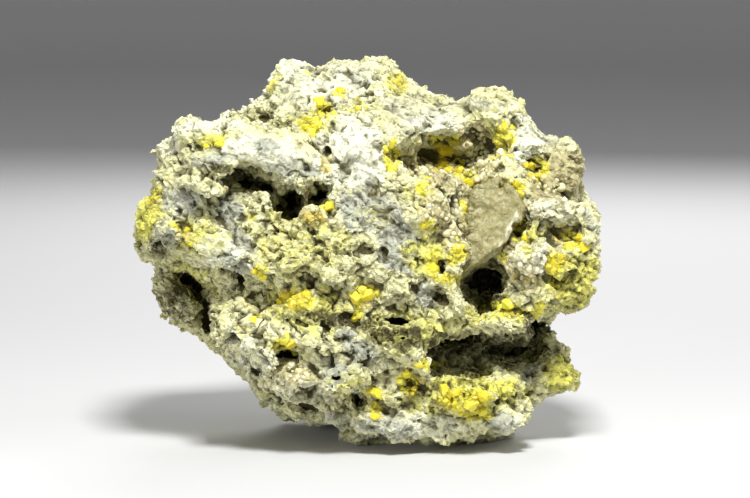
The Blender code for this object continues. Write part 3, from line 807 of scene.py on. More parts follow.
def scatter_tree():
    """Plants grains on a surface, thickest where the named field is strongest."""
    tree = new_tree(
        "scatter",
        {
            "Spacing": 2 * MM, "Thickness": 100000.0, "Smallest": 1 * MM, "Largest": 2 * MM,
            "Sink": 0.3, "Lean": 0.6,
        },
        Grains="Collection", Where="String", Seed="Int", Material="Material",
    )
    given = add_node(tree, "NodeGroupInput").outputs
    where = typed(tree, "GeometryNodeInputNamedAttribute", {"Name": given["Where"]})
    spread = add_node(
        tree, "GeometryNodeDistributePointsOnFaces",
        {
            "Mesh": given["Geometry"], "Distance Min": given["Spacing"], "Density Max": given["Thickness"],
            "Density Factor": where, "Seed": given["Seed"],
        },
        distribute_method="POISSON",
    ).outputs
    luck = typed(tree, "FunctionNodeRandomValue", {"Seed": given["Seed"]})
    rare = numbers(tree, "POWER", luck, BIG_GRAIN_RARITY)
    size = between(tree, rare, 0.0, 1.0, given["Smallest"], given["Largest"])
    fall = numbers(tree, "MULTIPLY", numbers(tree, "MULTIPLY", size, given["Sink"]), -1.0)
    planted = add_node(
        tree, "GeometryNodeSetPosition",
        {"Geometry": spread["Points"], "Offset": scaled(tree, spread["Normal"], fall)},
    ).outputs[0]
    number = add_node(tree, "GeometryNodeInputIndex").outputs[0]
    other_seed = numbers(tree, "ADD", given["Seed"], SHADE_SEED_STEP)
    shade = typed(tree, "FunctionNodeRandomValue", {"Seed": other_seed})
    for label, kind, value in (("grain_number", "INT", number), ("shade", "FLOAT", shade)):
        planted = add_node(
            tree, "GeometryNodeStoreNamedAttribute",
            {"Geometry": planted, "Name": label, "Value": value}, data_type=kind, domain="POINT",
        ).outputs[0]
    least = numbers(tree, "MULTIPLY", given["Lean"], -1.0)
    turns = {
        0: vector_of(tree, least, least, -math.pi),
        1: vector_of(tree, given["Lean"], given["Lean"], math.pi),
        "Seed": given["Seed"],
    }
    own = typed(tree, "FunctionNodeRandomValue", turns, "FLOAT_VECTOR")
    turned = add_node(
        tree, "FunctionNodeRotateRotation",
        {0: spread["Rotation"], 1: add_node(tree, "FunctionNodeEulerToRotation", {0: own}).outputs[0]},
        rotation_space="LOCAL",
    )
    grains = add_node(
        tree, "GeometryNodeCollectionInfo",
        {"Collection": given["Grains"], "Separate Children": True, "Reset Children": True},
    )
    planting = add_node(
        tree, "GeometryNodeInstanceOnPoints",
        {
            "Points": planted, "Instance": grains.outputs[0], "Pick Instance": True,
            "Rotation": turned.outputs[0], "Scale": size,
        },
    )
    real = add_node(tree, "GeometryNodeRealizeInstances", {0: planting.outputs[0]})
    coated = add_node(
        tree, "GeometryNodeSetMaterial", {"Geometry": real.outputs[0], "Material": given["Material"]},
    )
    add_node(tree, "NodeGroupOutput", {"Geometry": coated.outputs[0]})
    return tree


# --- The rock -------------------------------------------------------------------------------------

def merged_solids(names):
    """One mesh of the named solids, with their loose triangles joined at their corners."""
    bm = bmesh.new()
    for name in names:
        bm.from_mesh(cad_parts[name].data)
    bmesh.ops.remove_doubles(bm, verts=bm.verts, dist=0.01 * MM)
    return mesh_from(bm, "solids")


def uneven_balls(ground, table):
    """An uneven ellipsoid for each row of a table, where its line of sight meets the ground."""
    skin = skin_of(ground.data)
    bm = bmesh.new()
    for number, (across, down, half_width, half_height, depth, roll, *seat) in enumerate(table.values()):
        origin, direction = line_of_sight(*(seat or (across, down)))
        hit = skin.ray_cast(origin, direction)[0]
        if hit is None:
            continue
        far = (hit - EYE).dot(FORWARD)
        _, direction = line_of_sight(across, down)
        place = EYE + direction * (far / direction.dot(FORWARD))
        ball = bmesh.ops.create_icosphere(bm, subdivisions=3, radius=1.0)["verts"]
        turn = Matrix.Rotation(math.radians(roll), 3, "Y")
        half = Vector((half_width * PIXEL, depth * MM, half_height * PIXEL))
        for vert in ball:
            own_place = vert.co + Vector((number * 5.1, 0, 0))
            swell = 1.0 + 0.3 * noise.noise(own_place * 1.7) + 0.22 * noise.noise(own_place * 4.3)
            vert.co = turn @ Vector([c * swell * h for c, h in zip(vert.co, half)]) + place
    return bm


def raise_lumps(rock):
    """Adds the lumps to the rock's mesh, to be fused with it."""
    bm = uneven_balls(rock, LUMPS)
    bm.from_mesh(rock.data)
    rock.data = mesh_from(bm, "rock_and_lumps")


def dig(ground, table):
    """Takes the hollows of a table out of the rock or the slab."""
    pits = add_object("pits", mesh_from(uneven_balls(ground, table), "pits"))
    fuse(pits, COARSE_VOXEL)
    cut = ground.modifiers.new("dig", "BOOLEAN")
    cut.operation = "DIFFERENCE"
    cut.solver = "EXACT"
    cut.object = pits
    apply_modifiers(ground)
    remove_object(pits)


def drop_loose_bits(rock):
    """Keeps the largest connected part of the mesh."""
    bm = bmesh.new()
    bm.from_mesh(rock.data)
    left = set(bm.verts)
    parts = []
    while left:
        part = {left.pop()}
        to_follow = list(part)
        while to_follow:
            vert = to_follow.pop()
            for edge in vert.link_edges:
                other = edge.other_vert(vert)
                if other not in part:
                    part.add(other)
                    to_follow.append(other)
        left -= part
        parts.append(part)
    parts.sort(key=len)
    for part in parts[:-1]:
        bmesh.ops.delete(bm, geom=list(part), context="VERTS")
    bm.to_mesh(rock.data)
    bm.free()


def patch_share(across, down, patches, ragged, soft=0.35):
    """How strongly each point lies in any of the patches, with ragged borders."""
    share = np.zeros(len(across))
    for middle_across, middle_down, half_width, half_height, roll, strength in patches.values():
        angle = math.radians(roll)
        dx = across - middle_across
        dy = down - middle_down
        along = (dx * math.cos(angle) + dy * math.sin(angle)) / half_width
        beside = (dy * math.cos(angle) - dx * math.sin(angle)) / half_height
        reach = np.sqrt(along ** 2 + beside ** 2) + 0.9 * ragged
        inside = np.clip((1.0 + soft - reach) / (2 * soft), 0.0, 1.0)
        share = np.maximum(share, strength * inside)
    return share


def spot_share(across, down, spots, ragged):
    patches = {name: (*spot[:4], 0.0, spot[4]) for name, spot in spots.items()}
    return patch_share(across, down, patches, ragged * 0.5, soft=0.25)


def front_share(points):
    """1 on the front half of the rock, down to 0 just behind its middle."""
    return np.clip((MIDDLE_FADE - points[:, 1]) / MIDDLE_FADE, 0.0, 1.0)


def distance_to_node(points, name):
    """How far each point lies outside the box of a node of the model."""
    low, high = (np.array(corner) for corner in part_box(name))
    return np.linalg.norm(np.maximum(0, np.maximum(low - points, points - high)), axis=1)


def paint_fields(rock):
    """Where the rock is grey, yellow, white, tan or orange, where shade is painted on it, and where
    crystals grow on it.
    """
    mesh = rock.data
    points = points_of(mesh)
    across, down = places_in_view(points)
    seen = np.clip(0.25 - 1.6 * (normals_of(mesh) @ np.array(FORWARD)), 0.0, 1.0) * front_share(points)
    unseen = 1.0 - seen
    ragged = noise_at(points, 9 * MM, 1)
    wide = noise_at(points, WIDE_CLOUDS, WIDE_SEED)
    zones = noise_at(points, 55 * MM, 7, 2)
    fields = {  # the patches in front, and what takes their place on the sides and the back
        "grey": (GREY_PATCHES, np.clip(2.2 * wide + 0.8 * ragged - 0.3, 0.0, 0.9)),
        "yellow": (YELLOW_PATCHES, np.clip(0.1 + 0.5 * ragged - 1.1 * zones, 0.0, 0.8)),
        "white": (WHITE_PATCHES, np.clip(0.35 + 1.8 * zones, 0.0, 1.0)),
        "tan": (TAN_PATCHES, np.clip(-3.0 * wide - 1.3, 0.0, 0.8)),
        "orange": (ORANGE_PATCHES, np.clip(ragged * 2 - 1.1, 0.0, 0.8)),
        "smooth": (SMOOTH_PATCHES, np.clip(0.2 + 1.4 * wide, 0.0, 0.9)),
        # painted shade in recesses and under overhangs in front; random dirt on the sides and the back
        "painted_shade_and_dirt": (PAINTED_SHADE_PATCHES, np.clip(-0.05 - 0.9 * wide + 0.6 * ragged, 0.0, 0.5)),
    }
    for name, (patches, elsewhere) in fields.items():
        share = patch_share(across, down, patches, ragged * 0.5)
        set_field(mesh, name, share * seen + elsewhere * unseen)
    set_field(mesh, "hollow", seen * patch_share(across, down, DARK_HOLLOWS, ragged * 0.3))
    behind = np.clip(points[:, 1] / MIDDLE_FADE, 0.0, 1.0)
    hidden = np.clip(5 * (ragged - 1.3 * zones - 1.05), 0.0, 0.9) * behind
    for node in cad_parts:
        if "crust_back" in node:
            close = np.clip(1.2 - distance_to_node(points, node) / CRUST_REACH, 0.0, 1.0)
            hidden = np.maximum(hidden, close)
    sulfur_share = spot_share(across, down, SULFUR_SPOTS, ragged)
    set_field(mesh, "sulfur_spot", sulfur_share * seen + hidden * unseen)
    set_field(mesh, "calcite_spot", spot_share(across, down, CALCITE_SPOTS, ragged) * seen)


def settle(piece):
    """Keeps the piece inside the box of the solids and flat where it stands."""
    low, high = CAD_BOX
    set_points(piece.data, np.clip(points_of(piece.data), low, high))


def set_roughness(rock):
    """Smooth calcite crumbles less than the limestone, and the resting face not at all."""
    points = points_of(rock.data)
    across, down = places_in_view(points)
    still = np.zeros(len(points))
    in_front = front_share(points)
    calm = patch_share(across, down, SMOOTH_PATCHES, still)
    calm = np.maximum(calm, 0.7 * patch_share(across, down, TAN_PATCHES, still))
    behind = np.clip(0.2 + 1.4 * noise_at(points, WIDE_CLOUDS, WIDE_SEED), 0.0, 0.9)
    calm = calm * in_front + behind * (1.0 - in_front)
    above_floor = np.clip((points[:, 2] - CAD_BOX[0][2]) / (1.2 * MM), 0.0, 1.0)
    set_field(rock.data, "rough", (1.05 - 0.75 * calm) * above_floor)


def scatter(name, tree, ground, grains, material, **sizes):
    """One plain mesh of grains planted on the ground."""
    piece = add_object(name, ground.data.copy())
    run_tree(piece, tree, {"Grains": grains, "Material": material, **sizes})
    return piece


def add_blocks(rock, tree, grains):
    """Sets angular blocks on the rock, to be fused with it."""
    blocks = scatter(
        "blocks", tree, rock, grains, None, Where="rough", Spacing=6.5 * MM, Thickness=30000.0,
        Smallest=3.5 * MM, Largest=11.0 * MM, Sink=0.2, Lean=3.1, Seed=9,
    )
    bm = bmesh.new()
    bm.from_mesh(rock.data)
    bm.from_mesh(blocks.data)
    remove_object(blocks)
    rock.data = mesh_from(bm, "rock_and_blocks")


def make_rock(planting, crumbs):
    crusts = [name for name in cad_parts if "crust" in name]
    rock = add_object("limestone", merged_solids(["matrix_rock"] + crusts))
    fuse(rock, COARSE_VOXEL)
    raise_lumps(rock)
    fuse(rock, COARSE_VOXEL)
    round_off = rock.modifiers.new("round_off", "SMOOTH")
    round_off.factor = 0.5
    round_off.iterations = ROUNDING_STEPS
    apply_modifiers(rock)
    dig(rock, PITS)
    fuse(rock, COARSE_VOXEL)
    tree = crumble_tree()
    set_roughness(rock)
    set_outward(rock.data, 10)
    run_tree(rock, tree, CRUMBLING["clods"])
    add_blocks(rock, planting, crumbs)
    fuse(rock, FINE_VOXEL)
    set_roughness(rock)
    set_outward(rock.data, 14)
    for scale in ("lumps", "crumbs"):
        run_tree(rock, tree, CRUMBLING[scale])
    thin = rock.modifiers.new("thin", "DECIMATE")
    thin.ratio = ROCK_TRIANGLES / (2.0 * len(rock.data.polygons))
    apply_modifiers(rock)
    drop_loose_bits(rock)
    settle(rock)
    paint_fields(rock)
    return rock


def grow_fields(rock):
    """How thickly crumbs, crystals and calcite balls stand at each place on the rock."""
    mesh = rock.data
    points = points_of(mesh)
    clear = np.clip((points[:, 2] - CAD_BOX[0][2] - 1.5 * MM) / (1.5 * MM), 0.0, 1.0)
    front = np.clip(0.35 - 1.5 * (normals_of(mesh) @ np.array(FORWARD)), 0.0, 1.0)
    bare = (1.0 - 0.85 * field_of(mesh, "tan")) * (1.0 - field_of(mesh, "sulfur_spot"))
    bare = bare * (1.0 - field_of(mesh, "calcite_spot"))
    loose = np.clip(0.55 + 0.9 * noise_at(points, 7 * MM, 8, 2), 0.05, 1.0)
    loose = loose * (1.0 - 0.8 * field_of(mesh, "smooth"))
    loose *= 1.0 - 0.7 * field_of(mesh, "hollow")
    set_field(mesh, "crumbs_front", bare * clear * front * loose)
    set_field(mesh, "crumbs_behind", bare * clear * (1.0 - front) * loose)
    clumps = np.clip(0.7 + 1.3 * noise_at(points, 6 * MM, 12, 2), 0.1, 1.0)
    for kind, thickness in (("sulfur", clumps), ("calcite", np.clip(1.6 - clumps, 0.4, 1.0))):
        set_field(mesh, kind + "_spot", field_of(mesh, kind + "_spot") * clear)
        set_field(mesh, kind + "_clumps", field_of(mesh, kind + "_spot") * clear * thickness)
    set_field(mesh, "shade", np.full(len(points), 0.5))


def set_crevices(rock, steps=14, depth=1.1 * MM):
    """Marks how deep the surface lies below itself evened over its neighbourhood, 0 to 1: the limestone
    paints shade into these crevices.
    """
    points = points_of(rock.data)
    below = np.einsum("ij,ij->i", averaged(rock.data, points, steps) - points, normals_of(rock.data))
    set_field(rock.data, "crevice", np.clip(below / depth, 0.0, 1.0))


# --- Grains and crystals that are scattered on the rock -------------------------------------------

def grain_collection(name, meshes):
    """A collection, out of the scene, of the shapes that a scatter picks from."""
    grains = bpy.data.collections.new(name)
    for number, mesh in enumerate(meshes):
        grains.objects.link(bpy.data.objects.new(f"{name}_{number}", mesh))
    return grains


def hull_mesh(name, corners):
    bm = bmesh.new()
    verts = [bm.verts.new(corner) for corner in corners]
    hull = bmesh.ops.convex_hull(bm, input=verts)
    loose = [item for item in hull["geom_interior"] if isinstance(item, bmesh.types.BMVert)]
    bmesh.ops.delete(bm, geom=loose, context="VERTS")
    bmesh.ops.dissolve_limit(bm, angle_limit=math.radians(4), verts=bm.verts, edges=bm.edges)
    bmesh.ops.recalc_face_normals(bm, faces=bm.faces)
    return mesh_from(bm, name)


def sulfur_shapes():
    """Blocky crystals with cut tips, one across, each a little uneven."""
    shapes = []
    rng = random.Random(7)
    for number in range(7):
        tall = rng.uniform(0.42, 0.6)
        tip = rng.uniform(0.2, 0.36)
        sides = rng.choice((4, 5, 6))
        corners = []
        for height, radius in ((-tall, tip), (-0.16, 0.5), (0.12, 0.5), (tall, tip)):
            for step in range(sides):
                angle = math.tau * (step + 0.5) / sides
                wobble = rng.uniform(0.86, 1.1)
                corners.append((
                    radius * wobble * math.cos(angle), 0.85 * radius * wobble * math.sin(angle),
                    height * rng.uniform(0.85, 1.15),
                ))
        shapes.append(hull_mesh(f"sulfur_shape_{number}", corners))
    return shapes


def crumb_shapes(name, count, corners_each):
    """Angular broken crumbs, about one across and flatter one way."""
    rng = random.Random(corners_each)
    shapes = []
    for number in range(count):
        thin = rng.uniform(0.5, 0.85)
        wide = rng.uniform(0.7, 1.0)
        corners = []
        for _ in range(corners_each):
            way = Vector((rng.gauss(0, 1), rng.gauss(0, 1), rng.gauss(0, 1))).normalized()
            way *= rng.uniform(0.42, 0.6)
            corners.append((way.x, way.y * wide, way.z * thin))
        shapes.append(hull_mesh(f"{name}_shape_{number}", corners))
    return shapes


def ball_shapes(count=4):
    """Knobbly balls of calcite, one across."""
    shapes = []
    for number in range(count):
        bm = bmesh.new()
        bmesh.ops.create_icosphere(bm, subdivisions=2, radius=0.5)
        for vert in bm.verts:
            vert.co *= 1.0 + 0.4 * noise.noise(vert.co * 2.6 + Vector((number * 3.3, 0, 0)))
            vert.co.z *= 0.85
        mesh = mesh_from(bm, f"ball_shape_{number}")
        for face in mesh.polygons:
            face.use_smooth = True
        shapes.append(mesh)
    return shapes


def split_by_node(piece, prefix, rest_name):
    """Gives each crust of the model the grains nearest it, and keeps the others as one sprinkle."""
    mesh = piece.data
    points = points_of(mesh)
    grain = np.empty(len(points), dtype=np.int32)
    mesh.attributes["grain_number"].data.foreach_get("value", grain)
    count = np.bincount(grain)
    used = np.nonzero(count)[0]
    middles = np.zeros((len(count), 3))
    for axis in range(3):
        middles[:, axis] = np.bincount(grain, weights=points[:, axis]) / np.maximum(count, 1)
    owner = np.full(len(count), -1)
    nearest = np.full(len(count), CRUST_REACH)
    names = [name for name in sorted(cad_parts) if name.startswith(prefix)]
    for index, name in enumerate(names):
        away = distance_to_node(middles, name)
        closer = away < nearest
        nearest[closer] = away[closer]
        owner[closer] = index
    vertex_owner = owner[grain]
    pieces = []
    for index, name in [*enumerate(names), (-1, None)]:
        if not np.any(owner[used] == index):
            continue
        part = mesh.copy()
        bm = bmesh.new()
        bm.from_mesh(part)
        bm.verts.ensure_lookup_table()
        others = [bm.verts[i] for i in np.nonzero(vertex_owner != index)[0]]
        bmesh.ops.delete(bm, geom=others, context="VERTS")
        bm.to_mesh(part)
        bm.free()
        made = add_object(f"{name}_crystals" if name else rest_name, part)
        if name:
            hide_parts(name)
        pieces.append(made)
    remove_object(piece)
    return pieces


# --- Finishes -------------------------------------------------------------------------------------

def new_material(name):
    material = bpy.data.materials.new(name)
    material.use_nodes = True
    material.node_tree.nodes.clear()
    return material, material.node_tree


def colour(name):
    return (*COLOURS[name], 1.0)


def painted(tree, name):
    return add_node(tree, "ShaderNodeAttribute", attribute_name=name).outputs["Fac"]


def on_piece(tree):
    """The place on the piece, in metres."""
    return add_node(tree, "ShaderNodeTexCoord").outputs["Object"]


def clouds(tree, size, detail=3.0, squash=(1.0, 1.0, 1.0)):
    """Noise over the piece with clouds of the given size in metres."""
    squashed = add_node(tree, "ShaderNodeMapping", {"Vector": on_piece(tree), "Scale": squash})
    cloud = add_node(
        tree, "ShaderNodeTexNoise",
        {"Vector": squashed.outputs[0], "Scale": 1.0 / size, "Detail": detail, "Roughness": 0.6},
    )
    return cloud.outputs["Fac"]


def patchy(tree, name, cloud, fleck, least=0.5):
    """A painted field broken up by clouds and flecks: 1 where it comes out over the least value."""
    share = numbers(tree, "ADD", painted(tree, name), numbers(tree, "MULTIPLY", cloud, CLOUD_SHARE))
    share = numbers(tree, "ADD", share, numbers(tree, "MULTIPLY", fleck, FLECK_SHARE))
    middle = least + (CLOUD_SHARE + FLECK_SHARE) / 2
    return between(tree, share, middle - PATCH_SOFTNESS, middle + PATCH_SOFTNESS)


def mixed(tree, share, first, second):
    inputs = {0: share, 6: first, 7: second}
    return add_node(tree, "ShaderNodeMix", inputs, data_type="RGBA", blend_type="MIX").outputs[2]


def bent_place(tree, cloud, reach):
    """Places on the piece, pushed about by clouds so that borders come out ragged."""
    place = on_piece(tree)
    wobble = add_node(tree, "ShaderNodeTexNoise", {"Vector": place, "Scale": 1.0 / cloud, "Detail": 1.0})
    return vectors(tree, "ADD", place, scaled(tree, wobble.outputs["Color"], reach))


def facets(tree, size):
    """Height of small flat facets, each tilted its own way."""
    slope, _ = cell_slope(tree, bent_place(tree, size, 0.6 * size), 1.0 / size)
    return numbers(tree, "ADD", slope, 0.5)


def cracks(tree, size, dip, squash):
    """Thin broken lines, longest one way: 1 in a crack."""
    ready = tipped(tree, bent_place(tree, 2.0 * size, 0.8 * size), dip, squash)
    line = between(tree, cell_border(tree, ready, 1.0 / size), 0.02, 0.12, 1.0, 0.0)
    broken = between(tree, clouds(tree, 1.2 * size), 0.50, 0.60)
    return numbers(tree, "MULTIPLY", line, broken)


def bumped(tree, layers):
    """A chain of bumps, each given as (height, strength, distance)."""
    chain = {}
    for height, strength, distance in layers:
        bump = {"Height": height, "Strength": strength, "Distance": distance}
        chain = {"Normal": add_node(tree, "ShaderNodeBump", {**bump, **chain}).outputs[0]}
    return chain["Normal"]


def finish_with(tree, base, normal, values):
    shader = add_node(tree, "ShaderNodeBsdfPrincipled", {"Base Color": base, "Normal": normal, **values})
    add_node(tree, "ShaderNodeOutputMaterial", {"Surface": shader.outputs[0]})


def rock_material():
    """Cream limestone, stained yellow, with blue-grey, white, tan and orange places, and shade painted
    dark into its crevices, cracks and hollows.
    """
    material, tree = new_material("limestone")
    grain = add_node(tree, "ShaderNodeTexVoronoi", {"Vector": on_piece(tree), "Scale": 1.0 / (1.7 * MM)})
    flecks = add_node(tree, "ShaderNodeSeparateColor", {0: grain.outputs["Color"]}).outputs
    warmth = between(tree, clouds(tree, 7 * MM), 0.35, 0.65)
    base = mixed(tree, warmth, colour("cream"), colour("pale_cream"))
    tan = mixed(tree, clouds(tree, 2.6 * MM), colour("brown"), colour("tan"))
    stains = (  # the painted field, its clouds in mm and their detail, its fleck, the least value, colour
        ("yellow", 4.2, 3.0, 1, 0.5, colour("stained_yellow")),
        ("white", 6.1, 3.0, 2, 0.5, colour("chalk")),
        ("grey", 5.3, 3.0, 0, 0.5, colour("blue_grey")),
        ("yellow", 3.1, 4.0, 0, 0.66, colour("lemon_stain")),
        ("tan", 7.0, 3.0, 2, 0.5, tan),
        ("orange", 3.4, 3.0, 1, 0.5, colour("orange_stain")),
        ("sulfur_spot", 2.6, 3.0, 1, 0.5, colour("sulfur_stain")),
    )
    for field, cloud, detail, fleck, least, stain in stains:
        share = patchy(tree, field, clouds(tree, cloud * MM, detail), flecks[fleck], least)
        base = mixed(tree, share, base, stain)
    grain_light = between(tree, painted(tree, "shade"), 0.0, 1.0, 0.74, 1.14)
    fleck_light = between(tree, flecks[0], 0.0, 1.0, 0.84, 1.08)
    lit = scaled(tree, base, numbers(tree, "MULTIPLY", grain_light, fleck_light))
    specks = between(tree, clouds(tree, 0.9 * MM, 2.0), 0.60, 0.70, 0.0, 0.3)
    shade_and_dirt = patchy(tree, "painted_shade_and_dirt", clouds(tree, 3.7 * MM), flecks[2], 0.65)
    crack = numbers(
        tree, "MULTIPLY", cracks(tree, 5 * MM, -0.55, (0.5, 1.0, 1.2)),
        between(tree, painted(tree, "smooth"), 0.0, 1.0, 0.6, 0.15),
    )
    # Painted shade: crevices, crack lines and the painted-shade patches go dark. The specks are random
    # dark grains, and on the hidden side the patches are dirt.
    dark = numbers(tree, "MAXIMUM", painted(tree, "crevice"), numbers(tree, "MAXIMUM", specks, shade_and_dirt))
    base = mixed(tree, numbers(tree, "MAXIMUM", dark, crack), lit, colour("shade_and_dirt"))
    normal = bumped(tree, [
        (facets(tree, 3.2 * MM), 0.8, 3.4 * MM), (facets(tree, 1.4 * MM), 0.8, 1.5 * MM),
        (numbers(tree, "SUBTRACT", 1.0, crack), 0.6, 0.8 * MM),
    ])
    finish_with(tree, base, normal, {"Roughness": 0.8, "Specular IOR Level": 0.4})
    return material


def sulfur_material():
    """Resinous yellow crystals, some deeper and orange."""
    material, tree = new_material("sulfur")
    middle = clouds(tree, 4 * MM)
    base = mixed(tree, painted(tree, "shade"), colour("deep_sulfur"), colour("clear_sulfur"))
    deep = numbers(tree, "MULTIPLY", painted(tree, "orange"), between(tree, middle, 0.35, 0.6))
    base = mixed(tree, numbers(tree, "MULTIPLY", deep, 0.9), base, colour("orange_sulfur"))
    base = mixed(tree, between(tree, middle, 0.58, 0.72), base, colour("pale_sulfur"))
    normal = bumped(tree, [(clouds(tree, 1.2 * MM), 0.35, 0.2 * MM)])
    finish_with(tree, base, normal, {
        "Roughness": 0.5, "IOR": 1.7, "Specular IOR Level": 0.3, "Subsurface Weight": 0.7,
        "Subsurface Radius": (1.0, 0.9, 0.2), "Subsurface Scale": 2.5 * MM,
    })
    return material


def calcite_material():
    """Knobbly calcite, cream to tan, a little clear."""
    material, tree = new_material("calcite")
    warmth = between(tree, clouds(tree, 9 * MM), 0.35, 0.65)
    base = mixed(tree, warmth, colour("tan_calcite"), colour("cream_calcite"))
    pale = between(tree, painted(tree, "shade"), 0.5, 1.0, 0.0, 0.5)
    base = mixed(tree, pale, base, colour("pale_calcite"))
    base = mixed(tree, painted(tree, "white"), base, colour("pink_calcite"))
    normal = bumped(tree, [(clouds(tree, 1.0 * MM), 0.5, 0.25 * MM)])
    finish_with(tree, base, normal, {
        "Roughness": 0.5, "IOR": 1.6, "Subsurface Weight": 0.6,
        "Subsurface Radius": (1.0, 0.8, 0.4), "Subsurface Scale": 2.2 * MM,
    })
    return material


def slab_material():
    """The broken slab: layered tan calcite with a pale edge."""
    material, tree = new_material("calcite_slab")
    bands = clouds(tree, 3 * MM, squash=(1.0, 1.0, 1.2))
    wide = clouds(tree, 14 * MM)
    specks = clouds(tree, 0.8 * MM, 1.0)
    base = mixed(tree, between(tree, bands, 0.35, 0.65), colour("slab_brown"), colour("slab_tan"))
    layers = (
        (between(tree, wide, 0.42, 0.62, 0.0, 0.6), "slab_light_tan"),
        (between(tree, specks, 0.58, 0.70, 0.0, 0.45), "slab_light_speck"),
        (between(tree, specks, 0.42, 0.30, 0.0, 0.5), "slab_dark_speck"),
        (painted(tree, "white"), "slab_edge"),
    )
    for share, name in layers:
        base = mixed(tree, share, base, colour(name))
    normal = bumped(tree, [
        (bands, 0.3, 0.4 * MM), (facets(tree, 1.6 * MM), 0.5, 0.8 * MM), (specks, 0.4, 0.2 * MM),
    ])
    finish_with(tree, base, normal, {
        "Roughness": 0.5, "IOR": 1.6, "Subsurface Weight": 0.35,
        "Subsurface Radius": (1.0, 0.65, 0.3), "Subsurface Scale": 2.0 * MM,
    })
    return material


def coat(piece, material):
    piece.data.materials.clear()
    piece.data.materials.append(material)


# --- The slab and the studio ----------------------------------------------------------------------

def distance_to_line(across, down, line):
    """How many pixels each place in the view lies from a bent line."""
    nearest = np.full(len(across), np.inf)
    for start, end in zip(line, line[1:]):
        run = np.array(end) - np.array(start)
        offset = np.stack([across - start[0], down - start[1]], axis=1)
        along = np.clip(offset @ run / (run @ run), 0.0, 1.0)
        nearest = np.minimum(nearest, np.linalg.norm(offset - along[:, None] * run, axis=1))
    return nearest


def make_slab(material):
    slab = add_object("tan_calcite_slab", merged_solids(["calcite_slab"]))
    dig(slab, SLAB_NOTCHES)
    fuse(slab, SLAB_VOXEL)
    mesh = slab.data
    points = points_of(mesh)
    across, down = places_in_view(points)
    steps = noise_at(points, 8 * MM, 5)
    fine = noise_at(points, 1.8 * MM, 6, 2)
    set_field(mesh, "calcite_clumps", spot_share(across, down, SLAB_CRUST_SPOTS, steps))
    layers = np.round(steps * 4) / 4
    rise = 0.3 * MM * noise_at(points, 3.5 * MM, 15) + 1.3 * MM * steps
    rise = rise + 0.6 * MM * layers + 0.14 * MM * fine
    set_points(mesh, points + normals_of(mesh) * rise[:, None])
    from_edge = distance_to_line(across, down, SLAB_PALE_EDGE)
    pale = 0.9 - from_edge / PALE_EDGE_WIDTH + 1.2 * steps + 0.9 * fine
    set_field(mesh, "white", np.clip(pale, 0.0, 1.0))
    coat(slab, material)
    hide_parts("calcite_slab")
    return slab


def add_light(name, place, size, power):
    lamp = bpy.data.lights.new(name, "AREA")
    lamp.shape = "SQUARE"
    lamp.size = size
    lamp.energy = power
    holder = add_object(name, lamp)
    holder.location = place
    holder.rotation_euler = (CAMERA_AIM - Vector(place)).to_track_quat("-Z", "Y").to_euler()


def floor_mesh():
    """A disc that bends up all round into a wall."""
    rings = [(STAGE_RADIUS * share, 0.0) for share in (0.02, 0.4, FLOOR_FLAT)]
    bend = STAGE_RADIUS * (1 - FLOOR_FLAT)
    for step in range(1, FLOOR_BEND_STEPS + 1):
        angle = math.radians(90 * step / FLOOR_BEND_STEPS)
        rings.append((STAGE_RADIUS * FLOOR_FLAT + bend * math.sin(angle), bend * (1 - math.cos(angle))))
    rings.append((STAGE_RADIUS, STAGE_RADIUS * 0.8))
    angles = [math.tau * turn / FLOOR_SEGMENTS for turn in range(FLOOR_SEGMENTS)]
    corners = [
        (radius * math.cos(angle), radius * math.sin(angle), height)
        for radius, height in rings for angle in angles
    ]
    faces = [tuple(range(FLOOR_SEGMENTS))]
    for ring in range(len(rings) - 1):
        for turn in range(FLOOR_SEGMENTS):
            here = ring * FLOOR_SEGMENTS + turn
            there = ring * FLOOR_SEGMENTS + (turn + 1) % FLOOR_SEGMENTS
            faces.append((here, here + FLOOR_SEGMENTS, there + FLOOR_SEGMENTS, there))
    mesh = bpy.data.meshes.new("floor")
    mesh.from_pydata(corners, [], faces)
    for face in mesh.polygons:
        face.use_smooth = True
    return mesh


def add_studio():
    """A pale floor that rises all round into a wall, with soft lights from above."""
    floor = add_object("floor", floor_mesh())
    material, tree = new_material("floor")
    flat = add_node(tree, "ShaderNodeBump").outputs[0]
    finish_with(tree, colour("floor"), flat, {"Roughness": 0.9})
    coat(floor, material)
    world = bpy.data.worlds.new("studio")
    world.use_nodes = True
    background = world.node_tree.nodes["Background"]
    background.inputs["Color"].default_value = colour("studio_light")
    background.inputs["Strength"].default_value = SKY_STRENGTH
    bpy.context.scene.world = world
    for name, (place, size, power) in LIGHTS.items():
        add_light(name, place, size, power)
    bpy.context.scene.view_settings.view_transform = "Standard"


add_camera()
add_studio()

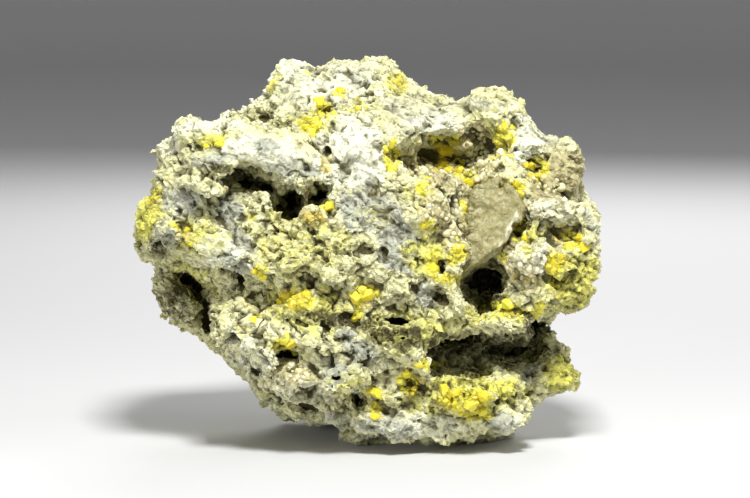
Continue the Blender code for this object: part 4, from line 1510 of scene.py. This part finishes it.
limestone = rock_material()
planting = scatter_tree()
crumbs = grain_collection("crumb_shapes", crumb_shapes("crumb", 8, 8))
blocks = grain_collection("block_shapes", crumb_shapes("block", 8, 11))
rock = make_rock(planting, crumbs)
grow_fields(rock)
set_crevices(rock)
coat(rock, limestone)
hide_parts("matrix_rock")

sulfur_grains = grain_collection("sulfur_shapes", sulfur_shapes())
calcite_balls = grain_collection("ball_shapes", ball_shapes())

crumb_pieces = [
    scatter(
        "blocks_front", planting, rock, blocks, limestone, Where="crumbs_front", Spacing=3.4 * MM,
        Thickness=110000.0, Smallest=3.0 * MM, Largest=9.0 * MM, Sink=0.24, Lean=3.1, Seed=21,
    ),
    scatter(
        "crumbs_front", planting, rock, crumbs, limestone, Where="crumbs_front", Spacing=1.9 * MM,
        Thickness=300000.0, Smallest=1.3 * MM, Largest=4.0 * MM, Sink=0.2, Lean=3.1, Seed=1,
    ),
    scatter(
        "crumbs_behind", planting, rock, crumbs, limestone, Where="crumbs_behind", Spacing=3.2 * MM,
        Thickness=90000.0, Smallest=2.0 * MM, Largest=7.0 * MM, Sink=0.28, Lean=3.1, Seed=3,
    ),
]

slab_finish = slab_material()
slab = make_slab(slab_finish)

sulfur = sulfur_material()
sulfur_pieces = split_by_node(
    scatter(
        "sulfur", planting, rock, sulfur_grains, sulfur, Where="sulfur_clumps", Spacing=2.0 * MM,
        Thickness=300000.0, Smallest=2.0 * MM, Largest=8.0 * MM, Sink=0.28, Lean=1.2, Seed=4,
    ),
    "sulfur_crust", "sulfur_sprinkle",
)
calcite = calcite_material()
calcite_pieces = split_by_node(
    scatter(
        "calcite", planting, rock, calcite_balls, calcite, Where="calcite_clumps", Spacing=2.1 * MM,
        Thickness=400000.0, Smallest=2.2 * MM, Largest=5.0 * MM, Sink=0.30, Lean=1.2, Seed=5,
    ),
    "calcite_crust", "calcite_sprinkle",
)

slab_knobs = scatter(
    "knobs_on_slab", planting, slab, calcite_balls, slab_finish, Where="calcite_clumps", Spacing=1.7 * MM,
    Thickness=400000.0, Smallest=1.8 * MM, Largest=4.5 * MM, Sink=0.4, Lean=1.2, Seed=8,
)

for piece in [rock, slab, slab_knobs, *crumb_pieces, *sulfur_pieces, *calcite_pieces]:
    settle(piece)
    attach(piece, "root")
